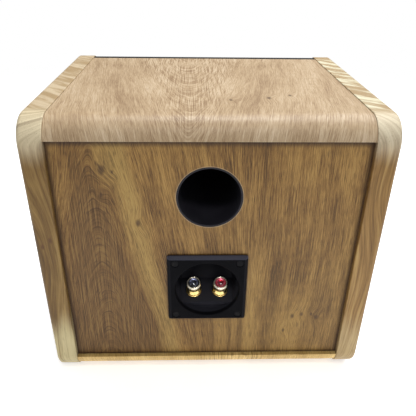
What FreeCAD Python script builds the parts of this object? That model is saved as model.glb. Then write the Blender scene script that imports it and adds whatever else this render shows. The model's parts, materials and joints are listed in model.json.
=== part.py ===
import FreeCAD, Part
import math
import os
import re
import Sketcher

# Passive subwoofer cabinet: two solid wood cheeks, a wrapped wooden shell, a ported back with a
# terminal cup, an eight-inch woofer behind a pull-off grille, and a low-pass network inside.
# Millimetres. +Z up, the grille faces -Y, the terminals face +Y. The origin is on the floor,
# under the middle of the box.

SIZES = {
    # cabinet
    "cabinet_width": 330, "cabinet_height": 292, "cabinet_depth": 283,
    "cheek_thickness": 22, "corner_radius": 25, "cheek_edge": 4, "cheek_inner_edge": 0.8,
    "cheek_reveal": 1, "top_thickness": 19, "bottom_thickness": 21,
    "rear_thickness": 16, "rear_recess": 6, "baffle_thickness": 18,
    "cleat_size": 15, "brace_width": 22, "brace_depth": 34, "brace_gap": 26,
    "dowel_radius": 4, "dowel_pitch": 80, "dowel_in_cheek": 12, "dowel_in_panel": 18,
    "pad_thickness": 18, "pad_margin": 22, "pad_edge": 5,
    # feet
    "foot_height": 5, "foot_radius": 10, "foot_taper": 1.5, "foot_inset": 30,
    "foot_screw_bore": 1.8, "foot_well_radius": 4.2, "foot_web": 2,
    # port
    "port_radius": 31, "port_wall": 2, "port_length": 140, "port_collar_width": 5,
    "port_collar_thickness": 4, "port_x": 0.5, "port_drop": 76.2,
    # terminal cup
    "plate_size": 80, "plate_thickness": 4, "plate_bevel": 3, "plate_edge": 1.2, "gasket_thickness": 1,
    "terminal_x": 1.7, "terminal_drop": 102.4, "cup_mouth_radius": 32.5, "cup_floor_radius": 28,
    "cup_depth": 28, "cup_wall": 1.8, "cup_clearance": 0.4, "platform_angle": 62,
    "platform_thickness": 3, "chord_drop": 18.8, "chord_depth": 4, "trough_depth": 9,
    "trough_drop": 8, "terminal_screw_pitch": 64, "terminal_screw_sink": 0.4, "hollow_taper": 0.2,
    # binding posts
    "post_pitch": 27.4, "post_along": 13, "stud_radius": 2.5, "stud_length": 15, "stud_tail": 10.5,
    "collar_radius": 8, "collar_thickness": 2.4, "wire_hole_radius": 1.4, "washer_radius": 6.4,
    "washer_thickness": 1.2, "cap_height": 16.3, "cap_skirt_radius": 7.6, "cap_waist_radius": 5.3,
    "cap_head_radius": 7.4, "skirt_height": 1.1, "waist_start": 4.9, "waist_end": 6.8, "head_start": 9.1,
    "head_edge": 0.8, "insert_radius": 5.5, "insert_seat": 2.6, "insert_floor": 1.2, "insert_rise": 1.8,
    "wire_hole_gap": 0.4,
    "thread_clearance": 0.1, "face_gap": 0.05, "nut_flats": 8, "nut_thickness": 3.2,
    "tag_radius": 4.4, "tag_thickness": 0.6, "tag_length": 9, "tag_width": 3,
    # woofer
    "basket_radius": 103, "flange_thickness": 4, "flange_width": 11, "cutout_clearance": 1,
    "rebate_clearance": 0.4, "landing_step": 2, "basket_depth": 63, "basket_wall": 2.5,
    "ledge_depth": 47, "ledge_inner": 51, "ledge_outer": 57.6, "ledge_rib": 3, "window_margin": 6.2,
    "window_offset": 1.8, "roll_seat": 1, "cone_lip": 3.5, "cone_lap": 0.3, "cone_depth": 36,
    "cone_rim": 0.9, "cone_throat": 1.4, "former_lap": 2, "spider_seat": 1, "spider_start": 3,
    "roll_radius": 6.5, "roll_wall": 0.6, "ring_width": 4, "ring_thickness": 2.4,
    "former_radius": 19.4, "former_wall": 0.4, "former_end": 75, "coil_wall": 0.8,
    "coil_height": 12, "gap_clearance": 0.5, "spider_wall": 0.8, "spider_wave": 1.6,
    "cap_base_radius": 25, "cap_rise": 9, "cap_wall": 0.7, "plate_radius": 46,
    "plate_height": 6, "magnet_radius": 50, "magnet_bore": 26, "magnet_height": 18,
    "driver_screw_inset": 4.5, "driver_screw_grip": 2, "strip_width": 24, "strip_drop": 8,
    "strip_seat": 1, "strip_gap": 1,
    # grille
    "grille_thickness": 12, "cloth_thickness": 0.8, "grille_gap": 0.5, "grille_side_gap": 0.6,
    "grille_bar": 24, "grille_ring_gap": 19, "grille_window_radius": 20, "peg_radius": 2.9, "peg_clearance": 0.1,
    "peg_length": 9, "peg_head": 6, "peg_inset_x": 18, "peg_inset_z": 24, "socket_radius": 5,
    "socket_depth": 11, "socket_floor": 1,
    # low-pass network
    "board_length": 110, "board_width": 70, "board_thickness": 1.6, "board_y": 62,
    "standoff_height": 6, "standoff_radius": 3.5, "board_screw_inset": 6, "bobbin_radius": 24,
    "bobbin_height": 24, "bobbin_flange": 2, "bobbin_core": 9, "bobbin_bore": 6,
    "winding_radius": 21.5, "coil_x": -26, "can_radius": 10, "can_length": 38, "can_start": 6,
    "lead_inset": 5, "lead_spread": 33, "lead_gap": 3.3, "solder_lap": 1,
    # fasteners and wire
    "screw_shank": 1.8, "screw_head": 3.6, "screw_head_height": 2, "wire_radius": 1.3,
    "foot_screw_length": 18, "board_screw_grip": 9, "terminal_screw_grip": 12,
}

# Places worked out from the driving sizes.
PLACES = {
    "half_depth": "cabinet_depth / 2",
    "half_inner": "cabinet_width / 2 - cheek_thickness",
    "inner_width": "cabinet_width - 2 * cheek_thickness",
    "cheek_base": "foot_height - cheek_reveal",
    "shell_top": "cheek_base + cabinet_height - cheek_reveal",
    "shell_radius": "corner_radius - cheek_reveal",
    "lip_level": "shell_top - top_thickness",
    "ledge_level": "foot_height + bottom_thickness",
    "shell_rear": "half_depth - cheek_reveal",
    "arc_rear": "shell_rear - shell_radius",
    "arc_top": "shell_top - shell_radius",
    "arc_bottom": "foot_height + shell_radius",
    "rear_face": "half_depth - rear_recess",
    "rear_inside": "rear_face - rear_thickness",
    "grille_front": "-half_depth + cheek_reveal",
    "frame_front": "grille_front + cloth_thickness",
    "frame_back": "frame_front + grille_thickness",
    "baffle_front": "frame_back + grille_gap",
    "baffle_back": "baffle_front + baffle_thickness",
    "arc_front": "-arc_rear",
    "woofer_level": "cheek_base + cabinet_height / 2",
    "port_level": "cheek_base + cabinet_height - port_drop",
    "terminal_level": "port_level - terminal_drop",
    "plate_back": "rear_face + gasket_thickness",
    "plate_front": "plate_back + plate_thickness",
    "platform_rise": "cos(platform_angle) / sin(platform_angle)",
    "post_base_depth": "chord_depth + post_along * sin(platform_angle)",
    "post_base_drop": "chord_drop - post_along * cos(platform_angle)",
    "cap_base": "collar_thickness + washer_thickness + 2 * face_gap",
    "neck_radius": "basket_radius - flange_width",
    "landing_radius": "neck_radius - landing_step",
    "cone_radius": "landing_radius - roll_seat - 2 * roll_radius",
    "window_radius": "(neck_radius - ledge_outer) / 2 - window_margin",
    "window_circle": "(neck_radius + ledge_outer) / 2 - window_offset",
    "driver_screw_circle": "basket_radius - driver_screw_inset",
    "coil_middle": "basket_depth + plate_height / 2",
    "board_level": "ledge_level + standoff_height",
}

POST_TILT_AXIS = FreeCAD.Vector(-1, 0, 0)
WINDOW_COUNT = 6
DRIVER_SCREW_COUNT = 8
DRIVER_SCREW_START = 22.5
SPIDER_WAVES = 5
OVERRUN = "10"
CLEAR = "1"
TOLERANCE = 1e-6
UP = FreeCAD.Vector(0, 0, 1)

doc = FreeCAD.newDocument("subwoofer_cabinet")
sheet = doc.addObject("Spreadsheet::Sheet", "Sizes")
nodes = []


def fill_sheet():
    """Writes each driving size as a plain number with an alias."""
    for row, (alias, value) in enumerate(SIZES.items(), start=1):
        sheet.set(f"A{row}", alias)
        sheet.set(f"B{row}", str(value))
        sheet.setAlias(f"B{row}", alias)
    doc.recompute()


def ex(text):
    """Turns size and place names into an expression on the sheet's cells."""
    def swap(match):
        word = match.group(0)
        if word in SIZES:
            return "Sizes." + word
        if word in PLACES:
            return "(" + ex(PLACES[word]) + ")"
        return word
    return re.sub(r"[a-z_]+", swap, str(text))


def val(text):
    """The number that a size expression stands for now."""
    result = sheet.evalExpression(ex(text))
    return float(getattr(result, "Value", result))


def place(thing, x="0", y="0", z="0"):
    """Binds a sub-part's position to the sheet."""
    for axis, text in zip("xyz", (x, y, z)):
        thing.setExpression(f"Placement.Base.{axis}", ex(text))


def keep(thing, label):
    """Names a finished sub-part and lists it for export."""
    thing.Label = label
    nodes.append(thing)
    return thing


def plane(body, role):
    """One of a body's own origin planes."""
    for feature in body.Origin.OriginFeatures:
        if feature.Role == role:
            return feature
    raise ValueError(role)


def new_sketch(body, role, offset="0"):
    """A sketch on one of the body's origin planes, moved along the plane's normal."""
    sketch = body.newObject("Sketcher::SketchObject", "Profile")
    sketch.AttachmentSupport = [(plane(body, role), "")]
    sketch.MapMode = "FlatFace"
    sketch.setExpression("AttachmentOffset.Base.z", ex(offset))
    return sketch


def bind(sketch, constraint, text):
    """Adds one dimension constraint and ties it to the sheet."""
    index = sketch.addConstraint(constraint)
    sketch.setExpression(f"Constraints[{index}]", ex(text))


def arc_between(start, end, centre, clockwise):
    """The arc from start to end, and which of its ends is the start."""
    radius = (start - centre).Length
    first, last = (end, start) if clockwise else (start, end)
    a = math.atan2(first.y - centre.y, first.x - centre.x)
    b = math.atan2(last.y - centre.y, last.x - centre.x)
    if b <= a:
        b += 2 * math.pi
    return Part.ArcOfCircle(Part.Circle(centre, UP, radius), a, b)


def outline(sketch, corners):
    """Draws a closed outline. A corner is (x, y), or (x, y, radius, centre x, centre y, turn) when
    the edge that leaves it is an arc, with turn "cw" or "ccw". A half circle is fixed by its
    centre's level, because its radius follows from its ends."""
    points = [FreeCAD.Vector(val(c[0]), val(c[1]), 0) for c in corners]
    starts = []
    ends = []
    for i, corner in enumerate(corners):
        a = points[i]
        b = points[(i + 1) % len(points)]
        if len(corner) == 2:
            geometry = sketch.addGeometry(Part.LineSegment(a, b), False)
            starts.append((geometry, 1))
            ends.append((geometry, 2))
            continue
        centre = FreeCAD.Vector(val(corner[3]), val(corner[4]), 0)
        clockwise = corner[5] == "cw"
        geometry = sketch.addGeometry(arc_between(a, b, centre, clockwise), False)
        starts.append((geometry, 2 if clockwise else 1))
        ends.append((geometry, 1 if clockwise else 2))
        if abs((b - a).Length - 2 * val(corner[2])) < TOLERANCE:
            level = Sketcher.Constraint("DistanceY", -1, 1, geometry, 3, centre.y)
            bind(sketch, level, corner[4])
        else:
            bind(sketch, Sketcher.Constraint("Radius", geometry, val(corner[2])), corner[2])
    for i, corner in enumerate(corners):
        following = starts[(i + 1) % len(corners)]
        sketch.addConstraint(Sketcher.Constraint("Coincident", *ends[i], *following))
        x, y = corner[0], corner[1]
        if abs(val(x)) < TOLERANCE:
            sketch.addConstraint(Sketcher.Constraint("PointOnObject", *starts[i], -2))
        else:
            bind(sketch, Sketcher.Constraint("DistanceX", -1, 1, *starts[i], val(x)), x)
        if abs(val(y)) < TOLERANCE:
            sketch.addConstraint(Sketcher.Constraint("PointOnObject", *starts[i], -1))
        else:
            bind(sketch, Sketcher.Constraint("DistanceY", -1, 1, *starts[i], val(y)), y)


def circles(sketch, centres, radius):
    """Draws equal circles, each centre and the radius tied to the sheet."""
    for x, y in centres:
        spot = FreeCAD.Vector(val(x), val(y), 0)
        geometry = sketch.addGeometry(Part.Circle(spot, UP, val(radius)), False)
        bind(sketch, Sketcher.Constraint("Radius", geometry, val(radius)), radius)
        if abs(val(x)) < TOLERANCE:
            sketch.addConstraint(Sketcher.Constraint("PointOnObject", geometry, 3, -2))
        else:
            bind(sketch, Sketcher.Constraint("DistanceX", -1, 1, geometry, 3, val(x)), x)
        if abs(val(y)) < TOLERANCE:
            sketch.addConstraint(Sketcher.Constraint("PointOnObject", geometry, 3, -1))
        else:
            bind(sketch, Sketcher.Constraint("DistanceY", -1, 1, geometry, 3, val(y)), y)


def rectangle(x0, y0, x1, y1):
    """The four corners of a rectangle, as expressions."""
    return [(x0, y0), (x1, y0), (x1, y1), (x0, y1)]


def new_body(label):
    return keep(doc.addObject("PartDesign::Body", label), label)


def pad(body, sketch, length, midplane=False, reverse=False):
    feature = body.newObject("PartDesign::Pad", "Pad")
    feature.Profile = sketch
    feature.setExpression("Length", ex(length))
    feature.Midplane = midplane
    feature.Reversed = reverse
    doc.recompute()
    return feature


def pocket(body, sketch, depth=None, reverse=False):
    """Cuts along minus the sketch's normal, or along it when reversed. No depth cuts right through."""
    before = body.Shape.Volume
    feature = body.newObject("PartDesign::Pocket", "Pocket")
    feature.Profile = sketch
    feature.Reversed = reverse
    if depth is None:
        feature.Type = "ThroughAll"
    else:
        feature.setExpression("Length", ex(depth))
    doc.recompute()
    if body.Shape.Volume > before - TOLERANCE:
        raise ValueError(f"{body.Label}: a pocket cut nothing")
    return feature


def revolve(body, sketch):
    feature = body.newObject("PartDesign::Revolution", "Revolution")
    feature.Profile = sketch
    feature.ReferenceAxis = (sketch, ["V_Axis"])
    feature.Angle = 360
    doc.recompute()
    return feature


def turned(label, corners, role="XZ_Plane"):
    """A turned piece: a half section revolved about the sketch's vertical axis."""
    body = new_body(label)
    sketch = new_sketch(body, role)
    outline(sketch, corners)
    revolve(body, sketch)
    return body


def round_edges(body, radius, wanted):
    """Fillets the edges of the body's tip that the test picks out."""
    tip = body.Tip
    names = [f"Edge{i}" for i, edge in enumerate(tip.Shape.Edges, start=1) if wanted(edge)]
    feature = body.newObject("PartDesign::Fillet", "Fillet")
    feature.Base = (tip, names)
    feature.setExpression("Radius", ex(radius))
    doc.recompute()
    return feature


def polar(body, feature, count, role):
    """Repeats a feature about one of the body's origin axes."""
    pattern = body.newObject("PartDesign::PolarPattern", "PolarPattern")
    pattern.Originals = [feature]
    pattern.Axis = (plane(body, role), [""])
    pattern.Angle = 360
    pattern.Occurrences = count
    body.Tip = pattern
    doc.recompute()


def at_x(x):
    """A test for edges that lie in the plane at one X."""
    return lambda edge: all(abs(v.X - x) < TOLERANCE for v in edge.Vertexes)


def along(direction):
    """A test for straight edges that run along one direction."""
    def test(edge):
        if edge.Curve.TypeId != "Part::GeomLine":
            return False
        return edge.Curve.Direction.cross(direction).Length < TOLERANCE
    return test


def ring_points(count, radius, start=0):
    """Equally spaced places on a circle, as expressions of its radius."""
    spots = []
    for i in range(count):
        turn = start + 360 * i / count
        spots.append((f"{radius} * cos({turn})", f"{radius} * sin({turn})"))
    return spots


def primitive(kind, name, sizes, position=("0", "0", "0"), rotation=None):
    """A Part primitive whose sizes and position are tied to the sheet."""
    thing = doc.addObject("Part::" + kind, name)
    if rotation is not None:
        thing.Placement = FreeCAD.Placement(FreeCAD.Vector(), rotation)
    for name_of_size, text in sizes.items():
        thing.setExpression(name_of_size, ex(text))
    place(thing, *position)
    return thing


def combine(kind, label, pieces):
    """A boolean or a compound of other objects."""
    result = doc.addObject("Part::" + kind, label)
    if kind == "Cut":
        result.Base, result.Tool = pieces
    elif kind == "Compound":
        result.Links = pieces
    else:
        result.Shapes = pieces
    doc.recompute()
    return result


def screws(label, spots, length, rotation, head="screw_head"):
    """Countersunk screws in one node. A spot is the middle of a head's flat face, and the rotation
    turns +Z from the tip towards the head."""
    axis = rotation.multVec(UP)
    solids = []
    for x, y, z in spots:
        def back(distance, middle=(x, y, z)):
            parts = (axis.x, axis.y, axis.z)
            return tuple(f"{m} - ({a:.10f}) * ({distance})" for m, a in zip(middle, parts))
        top = primitive("Cone", "Head", {"Radius1": "screw_shank", "Radius2": head,
                                         "Height": "screw_head_height"},
                        back("screw_head_height"), rotation)
        shank = primitive("Cylinder", "Shank", {"Radius": "screw_shank",
                                                "Height": f"{length} - screw_head_height"},
                          back(length), rotation)
        solids.append(combine("MultiFuse", "Screw", [top, shank]))
    return keep(combine("Compound", label, solids), label)


TO_FRONT = FreeCAD.Rotation(FreeCAD.Vector(1, 0, 0), 90)
TO_REAR = FreeCAD.Rotation(FreeCAD.Vector(1, 0, 0), -90)
TO_FLOOR = FreeCAD.Rotation(FreeCAD.Vector(1, 0, 0), 180)
TO_RIGHT = FreeCAD.Rotation(FreeCAD.Vector(0, 1, 0), 90)
UPRIGHT = FreeCAD.Rotation()


# ---------------------------------------------------------------- cabinet

DOWEL_STEPS = ("-dowel_pitch", "0", "dowel_pitch")
TOP_DOWEL_LEVEL = "shell_top - top_thickness / 2"
BOTTOM_DOWEL_LEVEL = "foot_height + bottom_thickness / 2"


def make_cheek(label, side):
    """A solid side with four round corners, softened outside edges and blind dowel holes."""
    body = new_body(label)
    profile = new_sketch(body, "YZ_Plane")
    outline(profile, rectangle("-half_depth", "cheek_base", "half_depth", "cheek_base + cabinet_height"))
    pad(body, profile, "cheek_thickness")
    round_edges(body, "corner_radius", along(FreeCAD.Vector(1, 0, 0)))
    round_edges(body, "cheek_edge", at_x(val("cheek_thickness")))
    round_edges(body, "cheek_inner_edge", at_x(0))
    holes = new_sketch(body, "YZ_Plane")
    levels = (TOP_DOWEL_LEVEL, BOTTOM_DOWEL_LEVEL)
    circles(holes, [(y, z) for y in DOWEL_STEPS for z in levels], "dowel_radius")
    pocket(body, holes, "dowel_in_cheek", reverse=True)
    turn = 0 if side > 0 else 180
    body.Placement = FreeCAD.Placement(FreeCAD.Vector(), FreeCAD.Rotation(UP, turn))
    place(body, f"{side} * half_inner")
    return body


def make_panel(label, corners, dowel_level):
    """A shell panel between the cheeks, with dowel holes in both ends."""
    body = new_body(label)
    section = new_sketch(body, "YZ_Plane")
    outline(section, corners)
    pad(body, section, "inner_width", midplane=True)
    holes = new_sketch(body, "YZ_Plane", "half_inner")
    circles(holes, [(y, dowel_level) for y in DOWEL_STEPS], "dowel_radius")
    cut = pocket(body, holes, "dowel_in_panel")
    mirror = body.newObject("PartDesign::Mirrored", "Mirrored")
    mirror.Originals = [cut]
    mirror.MirrorPlane = (plane(body, "YZ_Plane"), [""])
    body.Tip = mirror
    doc.recompute()
    return body


def arc_reach(level, centre):
    """How far the shell's rear arc stands behind its centre at a level."""
    return f"arc_rear + sqrt(shell_radius^2 - ({level} - ({centre}))^2)"


def foot_spots():
    """The name and place of each foot."""
    spots = []
    for name, i in (("left", -1), ("right", 1)):
        for end, k in (("front", -1), ("rear", 1)):
            x = f"{i} * (half_inner - foot_inset)"
            y = f"(baffle_back + arc_rear) / 2 + {k} * ((arc_rear - baffle_back) / 2 - foot_inset / 2)"
            spots.append((f"foot_{end}_{name}", x, y))
    return spots


def board_screw_spots():
    """The four screws of the low-pass network's board."""
    half_x = "(board_length / 2 - board_screw_inset)"
    half_y = "(board_width / 2 - board_screw_inset)"
    return [(f"{i} * {half_x}", f"board_y + {k} * {half_y}") for i in (-1, 1) for k in (-1, 1)]


def make_shell():
    make_panel("top_panel", [
        ("baffle_back", "lip_level"),
        (arc_reach("lip_level", "arc_top"), "lip_level", "shell_radius", "arc_rear", "arc_top", "ccw"),
        ("arc_rear", "shell_top"),
        ("baffle_back", "shell_top"),
    ], TOP_DOWEL_LEVEL)
    bottom = make_panel("bottom_panel", [
        ("baffle_back", "foot_height"),
        ("arc_rear", "foot_height", "shell_radius", "arc_rear", "arc_bottom", "ccw"),
        (arc_reach("ledge_level", "arc_bottom"), "ledge_level"),
        ("baffle_back", "ledge_level"),
    ], BOTTOM_DOWEL_LEVEL)
    pilots = new_sketch(bottom, "XY_Plane", "foot_height")
    circles(pilots, [(x, y) for _, x, y in foot_spots()], "screw_shank")
    pocket(bottom, pilots, "foot_web - screw_head_height + foot_screw_length - foot_height", reverse=True)
    pilots = new_sketch(bottom, "XY_Plane", "ledge_level")
    circles(pilots, board_screw_spots(), "screw_shank")
    pocket(bottom, pilots, "board_screw_grip")


def make_dowels():
    pieces = []
    for side in (-1, 1):
        for level in (TOP_DOWEL_LEVEL, BOTTOM_DOWEL_LEVEL):
            for y in DOWEL_STEPS:
                start = "half_inner - dowel_in_panel" if side > 0 else "-half_inner - dowel_in_cheek"
                sizes = {"Radius": "dowel_radius", "Height": "dowel_in_panel + dowel_in_cheek"}
                pieces.append(primitive("Cylinder", "Dowel", sizes, (start, y, level), TO_RIGHT))
    keep(combine("Compound", "dowels", pieces), "dowels")


def terminal_screw_spots():
    half = "terminal_screw_pitch / 2"
    return [(f"terminal_x + {i} * {half}", f"terminal_level + {k} * {half}") for i in (-1, 1) for k in (-1, 1)]


def make_rear_panel():
    """The back, let in between the shell panels, with the port hole and the terminal cut-out."""
    body = new_body("rear_panel")
    face = new_sketch(body, "XZ_Plane", "-rear_face")
    outline(face, rectangle("-half_inner", "ledge_level", "half_inner", "lip_level"))
    pad(body, face, "rear_thickness")
    port = new_sketch(body, "XZ_Plane", "-rear_face")
    circles(port, [("port_x", "port_level")], "port_radius")
    pocket(body, port, reverse=True)
    cup = new_sketch(body, "XZ_Plane", "-rear_face")
    circles(cup, [("terminal_x", "terminal_level")], "cup_mouth_radius + cup_wall + cup_clearance")
    pocket(body, cup, reverse=True)
    pilots = new_sketch(body, "XZ_Plane", "-rear_face")
    circles(pilots, terminal_screw_spots(), "screw_shank")
    pocket(body, pilots, reverse=True)


def drop(y, radius, centre="arc_front"):
    """How far a front arc has fallen below its crown at one Y."""
    return f"({radius} - sqrt({radius}^2 - ({y} - ({centre}))^2))"


def front_section(front, back, inset):
    """A side section whose front corners follow the cheeks' corners, inset from the shell."""
    radius = f"(shell_radius - {inset})"
    fall = drop(front, radius)
    low = f"foot_height + {inset}"
    high = f"shell_top - {inset}"
    return [
        ("arc_front", low, radius, "arc_front", "arc_bottom", "cw"),
        (front, f"{low} + {fall}"),
        (front, f"{high} - {fall}", radius, "arc_front", "arc_top", "cw"),
        ("arc_front", high),
        (back, high),
        (back, low),
    ]


def peg_spots():
    x = "(half_inner - peg_inset_x)"
    z = "((shell_top - foot_height) / 2 - peg_inset_z)"
    middle = "(shell_top + foot_height) / 2"
    return [(f"{i} * {x}", f"{middle} + {k} * {z}") for i in (-1, 1) for k in (-1, 1)]


def driver_screw_spots():
    spots = ring_points(DRIVER_SCREW_COUNT, "driver_screw_circle", DRIVER_SCREW_START)
    return [(x, f"woofer_level + {z}") for x, z in spots]


def make_baffle():
    """The board that carries the woofer, level with the shell and rounded with it."""
    body = new_body("baffle")
    section = new_sketch(body, "YZ_Plane")
    outline(section, front_section("baffle_front", "baffle_back", "0"))
    pad(body, section, "inner_width", midplane=True)
    cuts = (
        ([("0", "woofer_level")], "neck_radius + cutout_clearance", None),
        ([("0", "woofer_level")], "basket_radius + rebate_clearance", "flange_thickness"),
        (driver_screw_spots(), "screw_shank", None),
        (peg_spots(), "socket_radius", "socket_depth"),
    )
    for spots, radius, depth in cuts:
        holes = new_sketch(body, "XZ_Plane", "-baffle_front")
        circles(holes, spots, radius)
        pocket(body, holes, depth)


def make_inner_timber():
    """Glue cleats behind the back's edges and a brace between the cheeks."""
    for label, x in (("cleat_left", "-half_inner"), ("cleat_right", "half_inner - cleat_size")):
        sizes = {"Length": "cleat_size", "Width": "cleat_size", "Height": "lip_level - ledge_level"}
        keep(primitive("Box", label, sizes, (x, "rear_inside - cleat_size", "ledge_level")), label)
    sizes = {"Length": "inner_width", "Width": "brace_depth", "Height": "brace_width"}
    behind = "baffle_front + basket_depth + 2 * plate_height + magnet_height + brace_gap"
    keep(primitive("Box", "brace", sizes, ("-half_inner", behind, "woofer_level - brace_width / 2")), "brace")


def make_damping_pad():
    """Wadding glued under the top panel."""
    body = new_body("damping_pad")
    section = new_sketch(body, "XY_Plane", "lip_level - pad_thickness")
    front = "baffle_back + pad_margin"
    rear = "rear_inside - cleat_size - pad_margin"
    outline(section, rectangle("-half_inner + pad_margin", front, "half_inner - pad_margin", rear))
    pad(body, section, "pad_thickness")
    low = val("lip_level - pad_thickness")
    round_edges(body, "pad_edge", lambda edge: all(abs(v.Z - low) < TOLERANCE for v in edge.Vertexes))


def make_feet():
    """Rubber feet with a screw down the middle of each, under the bottom panel."""
    corners = [
        ("foot_screw_bore", "foot_web"),
        ("foot_well_radius", "foot_web"),
        ("foot_well_radius", "0"),
        ("foot_radius - foot_taper", "0"),
        ("foot_radius", "foot_height"),
        ("foot_screw_bore", "foot_height"),
    ]
    for label, x, y in foot_spots():
        place(turned(label, corners), x, y)
    heads = [(x, y, "foot_web - screw_head_height") for _, x, y in foot_spots()]
    screws("foot_screws", heads, "foot_screw_length", TO_FLOOR)


# ---------------------------------------------------------------- port and terminal cup

def make_port():
    """A plain tube flush with the back, stopped by a collar on the inside of the rear panel."""
    tube = turned("port_tube", [
        ("port_radius - port_wall", "0"),
        ("port_radius", "0"),
        ("port_radius", "-rear_thickness"),
        ("port_radius + port_collar_width", "-rear_thickness"),
        ("port_radius + port_collar_width", "-rear_thickness - port_collar_thickness"),
        ("port_radius", "-rear_thickness - port_collar_thickness"),
        ("port_radius", "-port_length"),
        ("port_radius - port_wall", "-port_length"),
    ], "XY_Plane")
    place(tube, "port_x", "rear_face", "port_level")


def post_rotation():
    """Turns +Z from straight up to square to the platform, up and to the rear."""
    return FreeCAD.Rotation(POST_TILT_AXIS, 90 - val("platform_angle"))


def post_origin(side):
    """Where a post's axis meets the platform's face."""
    x = f"terminal_x + {side} * post_pitch / 2"
    return (x, "plate_front - post_base_depth", "terminal_level - post_base_drop")


def set_post_place(thing, side, shift="0"):
    """Stands a piece on the platform, moved along the post's axis."""
    thing.Placement = FreeCAD.Placement(FreeCAD.Vector(), post_rotation())
    x, y, z = post_origin(side)
    place(thing, x, f"{y} + ({shift}) * cos(platform_angle)", f"{z} + ({shift}) * sin(platform_angle)")


def wedge(name, corners):
    """A prism right across the cup from a side section given as (depth behind the plate's face,
    drop below the cup's middle)."""
    body = doc.addObject("PartDesign::Body", name)
    section = new_sketch(body, "YZ_Plane")
    outline(section, [(f"-({depth})", f"-({fall})") for depth, fall in corners])
    pad(body, section, f"2 * (cup_mouth_radius + {OVERRUN})", midplane=True)
    place(body, "terminal_x", "plate_front", "terminal_level")
    return body


def make_terminal_cup():
    """A bevelled square plate with a round recess. A sloping hollow platform in it carries the posts."""
    centre = ("terminal_x", "plate_front", "terminal_level")
    plate = doc.addObject("PartDesign::Body", "Plate")
    face = new_sketch(plate, "XZ_Plane", "-plate_back")
    half = "plate_size / 2"
    outline(face, rectangle(f"terminal_x - {half}", f"terminal_level - {half}",
                            f"terminal_x + {half}", f"terminal_level + {half}"))
    pad(plate, face, "plate_thickness", reverse=True)
    front = val("plate_front")
    tip = plate.Tip
    bevel = plate.newObject("PartDesign::Chamfer", "Bevel")
    names = [f"Edge{i}" for i, edge in enumerate(tip.Shape.Edges, start=1)
             if all(abs(v.Y - front) < TOLERANCE for v in edge.Vertexes)]
    bevel.Base = (tip, names)
    bevel.ChamferType = "Equal distance"
    bevel.setExpression("Size", ex("plate_bevel"))
    doc.recompute()
    full_depth = "cup_depth + cup_wall"
    barrel = primitive("Cone", "Barrel", {
        "Radius1": "cup_mouth_radius + cup_wall", "Radius2": "cup_floor_radius + cup_wall",
        "Height": full_depth}, centre, TO_FRONT)
    recess = primitive("Cone", "Recess", {
        "Radius1": "cup_mouth_radius", "Radius2": "cup_floor_radius", "Height": "cup_depth"},
        centre, TO_FRONT)
    far = f"(cup_depth + cup_wall + {OVERRUN})"
    below = f"cup_mouth_radius + {OVERRUN}"
    platform = wedge("Platform", [
        ("chord_depth", "chord_drop"),
        (far, f"chord_drop - ({far} - chord_depth) * platform_rise"),
        (far, below),
        ("trough_depth", below),
        ("trough_depth", "chord_drop + trough_drop"),
    ])
    slant = "platform_thickness / sin(platform_angle)"
    hollow_start = "trough_depth + cup_wall"
    hollow = wedge("Hollow", [
        (hollow_start, f"chord_drop - ({hollow_start} - chord_depth) * platform_rise + {slant}"),
        (far, f"chord_drop - ({far} - chord_depth) * platform_rise + {slant}"),
        (far, below),
        (hollow_start, below),
    ])
    reach = primitive("Cone", "Reach", {
        "Radius1": "cup_mouth_radius", "Radius2": "cup_floor_radius - hollow_taper",
        "Height": f"{full_depth} + {CLEAR}"}, centre, TO_FRONT)
    room = combine("MultiCommon", "HollowRoom", [hollow, reach])
    space = combine("Cut", "OpenRecess", (recess, platform))
    outer = combine("MultiFuse", "CupOutside", [plate, barrel])
    cutters = [space, room]
    for x, z in terminal_screw_spots():
        cutters.append(primitive("Cylinder", "ScrewBore", {"Radius": "screw_shank",
                                                           "Height": f"plate_thickness + 2 * {CLEAR}"},
                                 (x, f"plate_front + {CLEAR}", z), TO_FRONT))
        cutters.append(primitive("Cone", "Countersink", {
            "Radius1": "screw_head", "Radius2": "screw_shank", "Height": "screw_head_height"},
            (x, "plate_front - terminal_screw_sink", z), TO_FRONT))
        cutters.append(primitive("Cylinder", "HeadWell", {"Radius": "screw_head",
                                                          "Height": f"terminal_screw_sink + {CLEAR}"},
                                 (x, f"plate_front + {CLEAR}", z), TO_FRONT))
    for side in (-1, 1):
        bore = doc.addObject("Part::Cylinder", "PostBore")
        bore.setExpression("Radius", ex("stud_radius"))
        bore.setExpression("Height", ex("platform_thickness * 4"))
        set_post_place(bore, side, "-platform_thickness * 2")
        cutters.append(bore)
    tool = combine("MultiFuse", "CupCutters", cutters)
    keep(combine("Cut", "terminal_cup", (outer, tool)), "terminal_cup")


def make_terminal_trim():
    body = new_body("terminal_gasket")
    face = new_sketch(body, "XZ_Plane", "-rear_face")
    half = "(plate_size / 2 - plate_edge)"
    outline(face, rectangle(f"terminal_x - {half}", f"terminal_level - {half}",
                            f"terminal_x + {half}", f"terminal_level + {half}"))
    circles(face, [("terminal_x", "terminal_level")], "cup_mouth_radius + cup_wall + cup_clearance")
    circles(face, terminal_screw_spots(), "screw_shank")
    pad(body, face, "gasket_thickness", reverse=True)
    spots = [(x, "plate_front - terminal_screw_sink", z) for x, z in terminal_screw_spots()]
    screws("terminal_screws", spots, "plate_thickness + gasket_thickness + terminal_screw_grip", TO_REAR)


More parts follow.
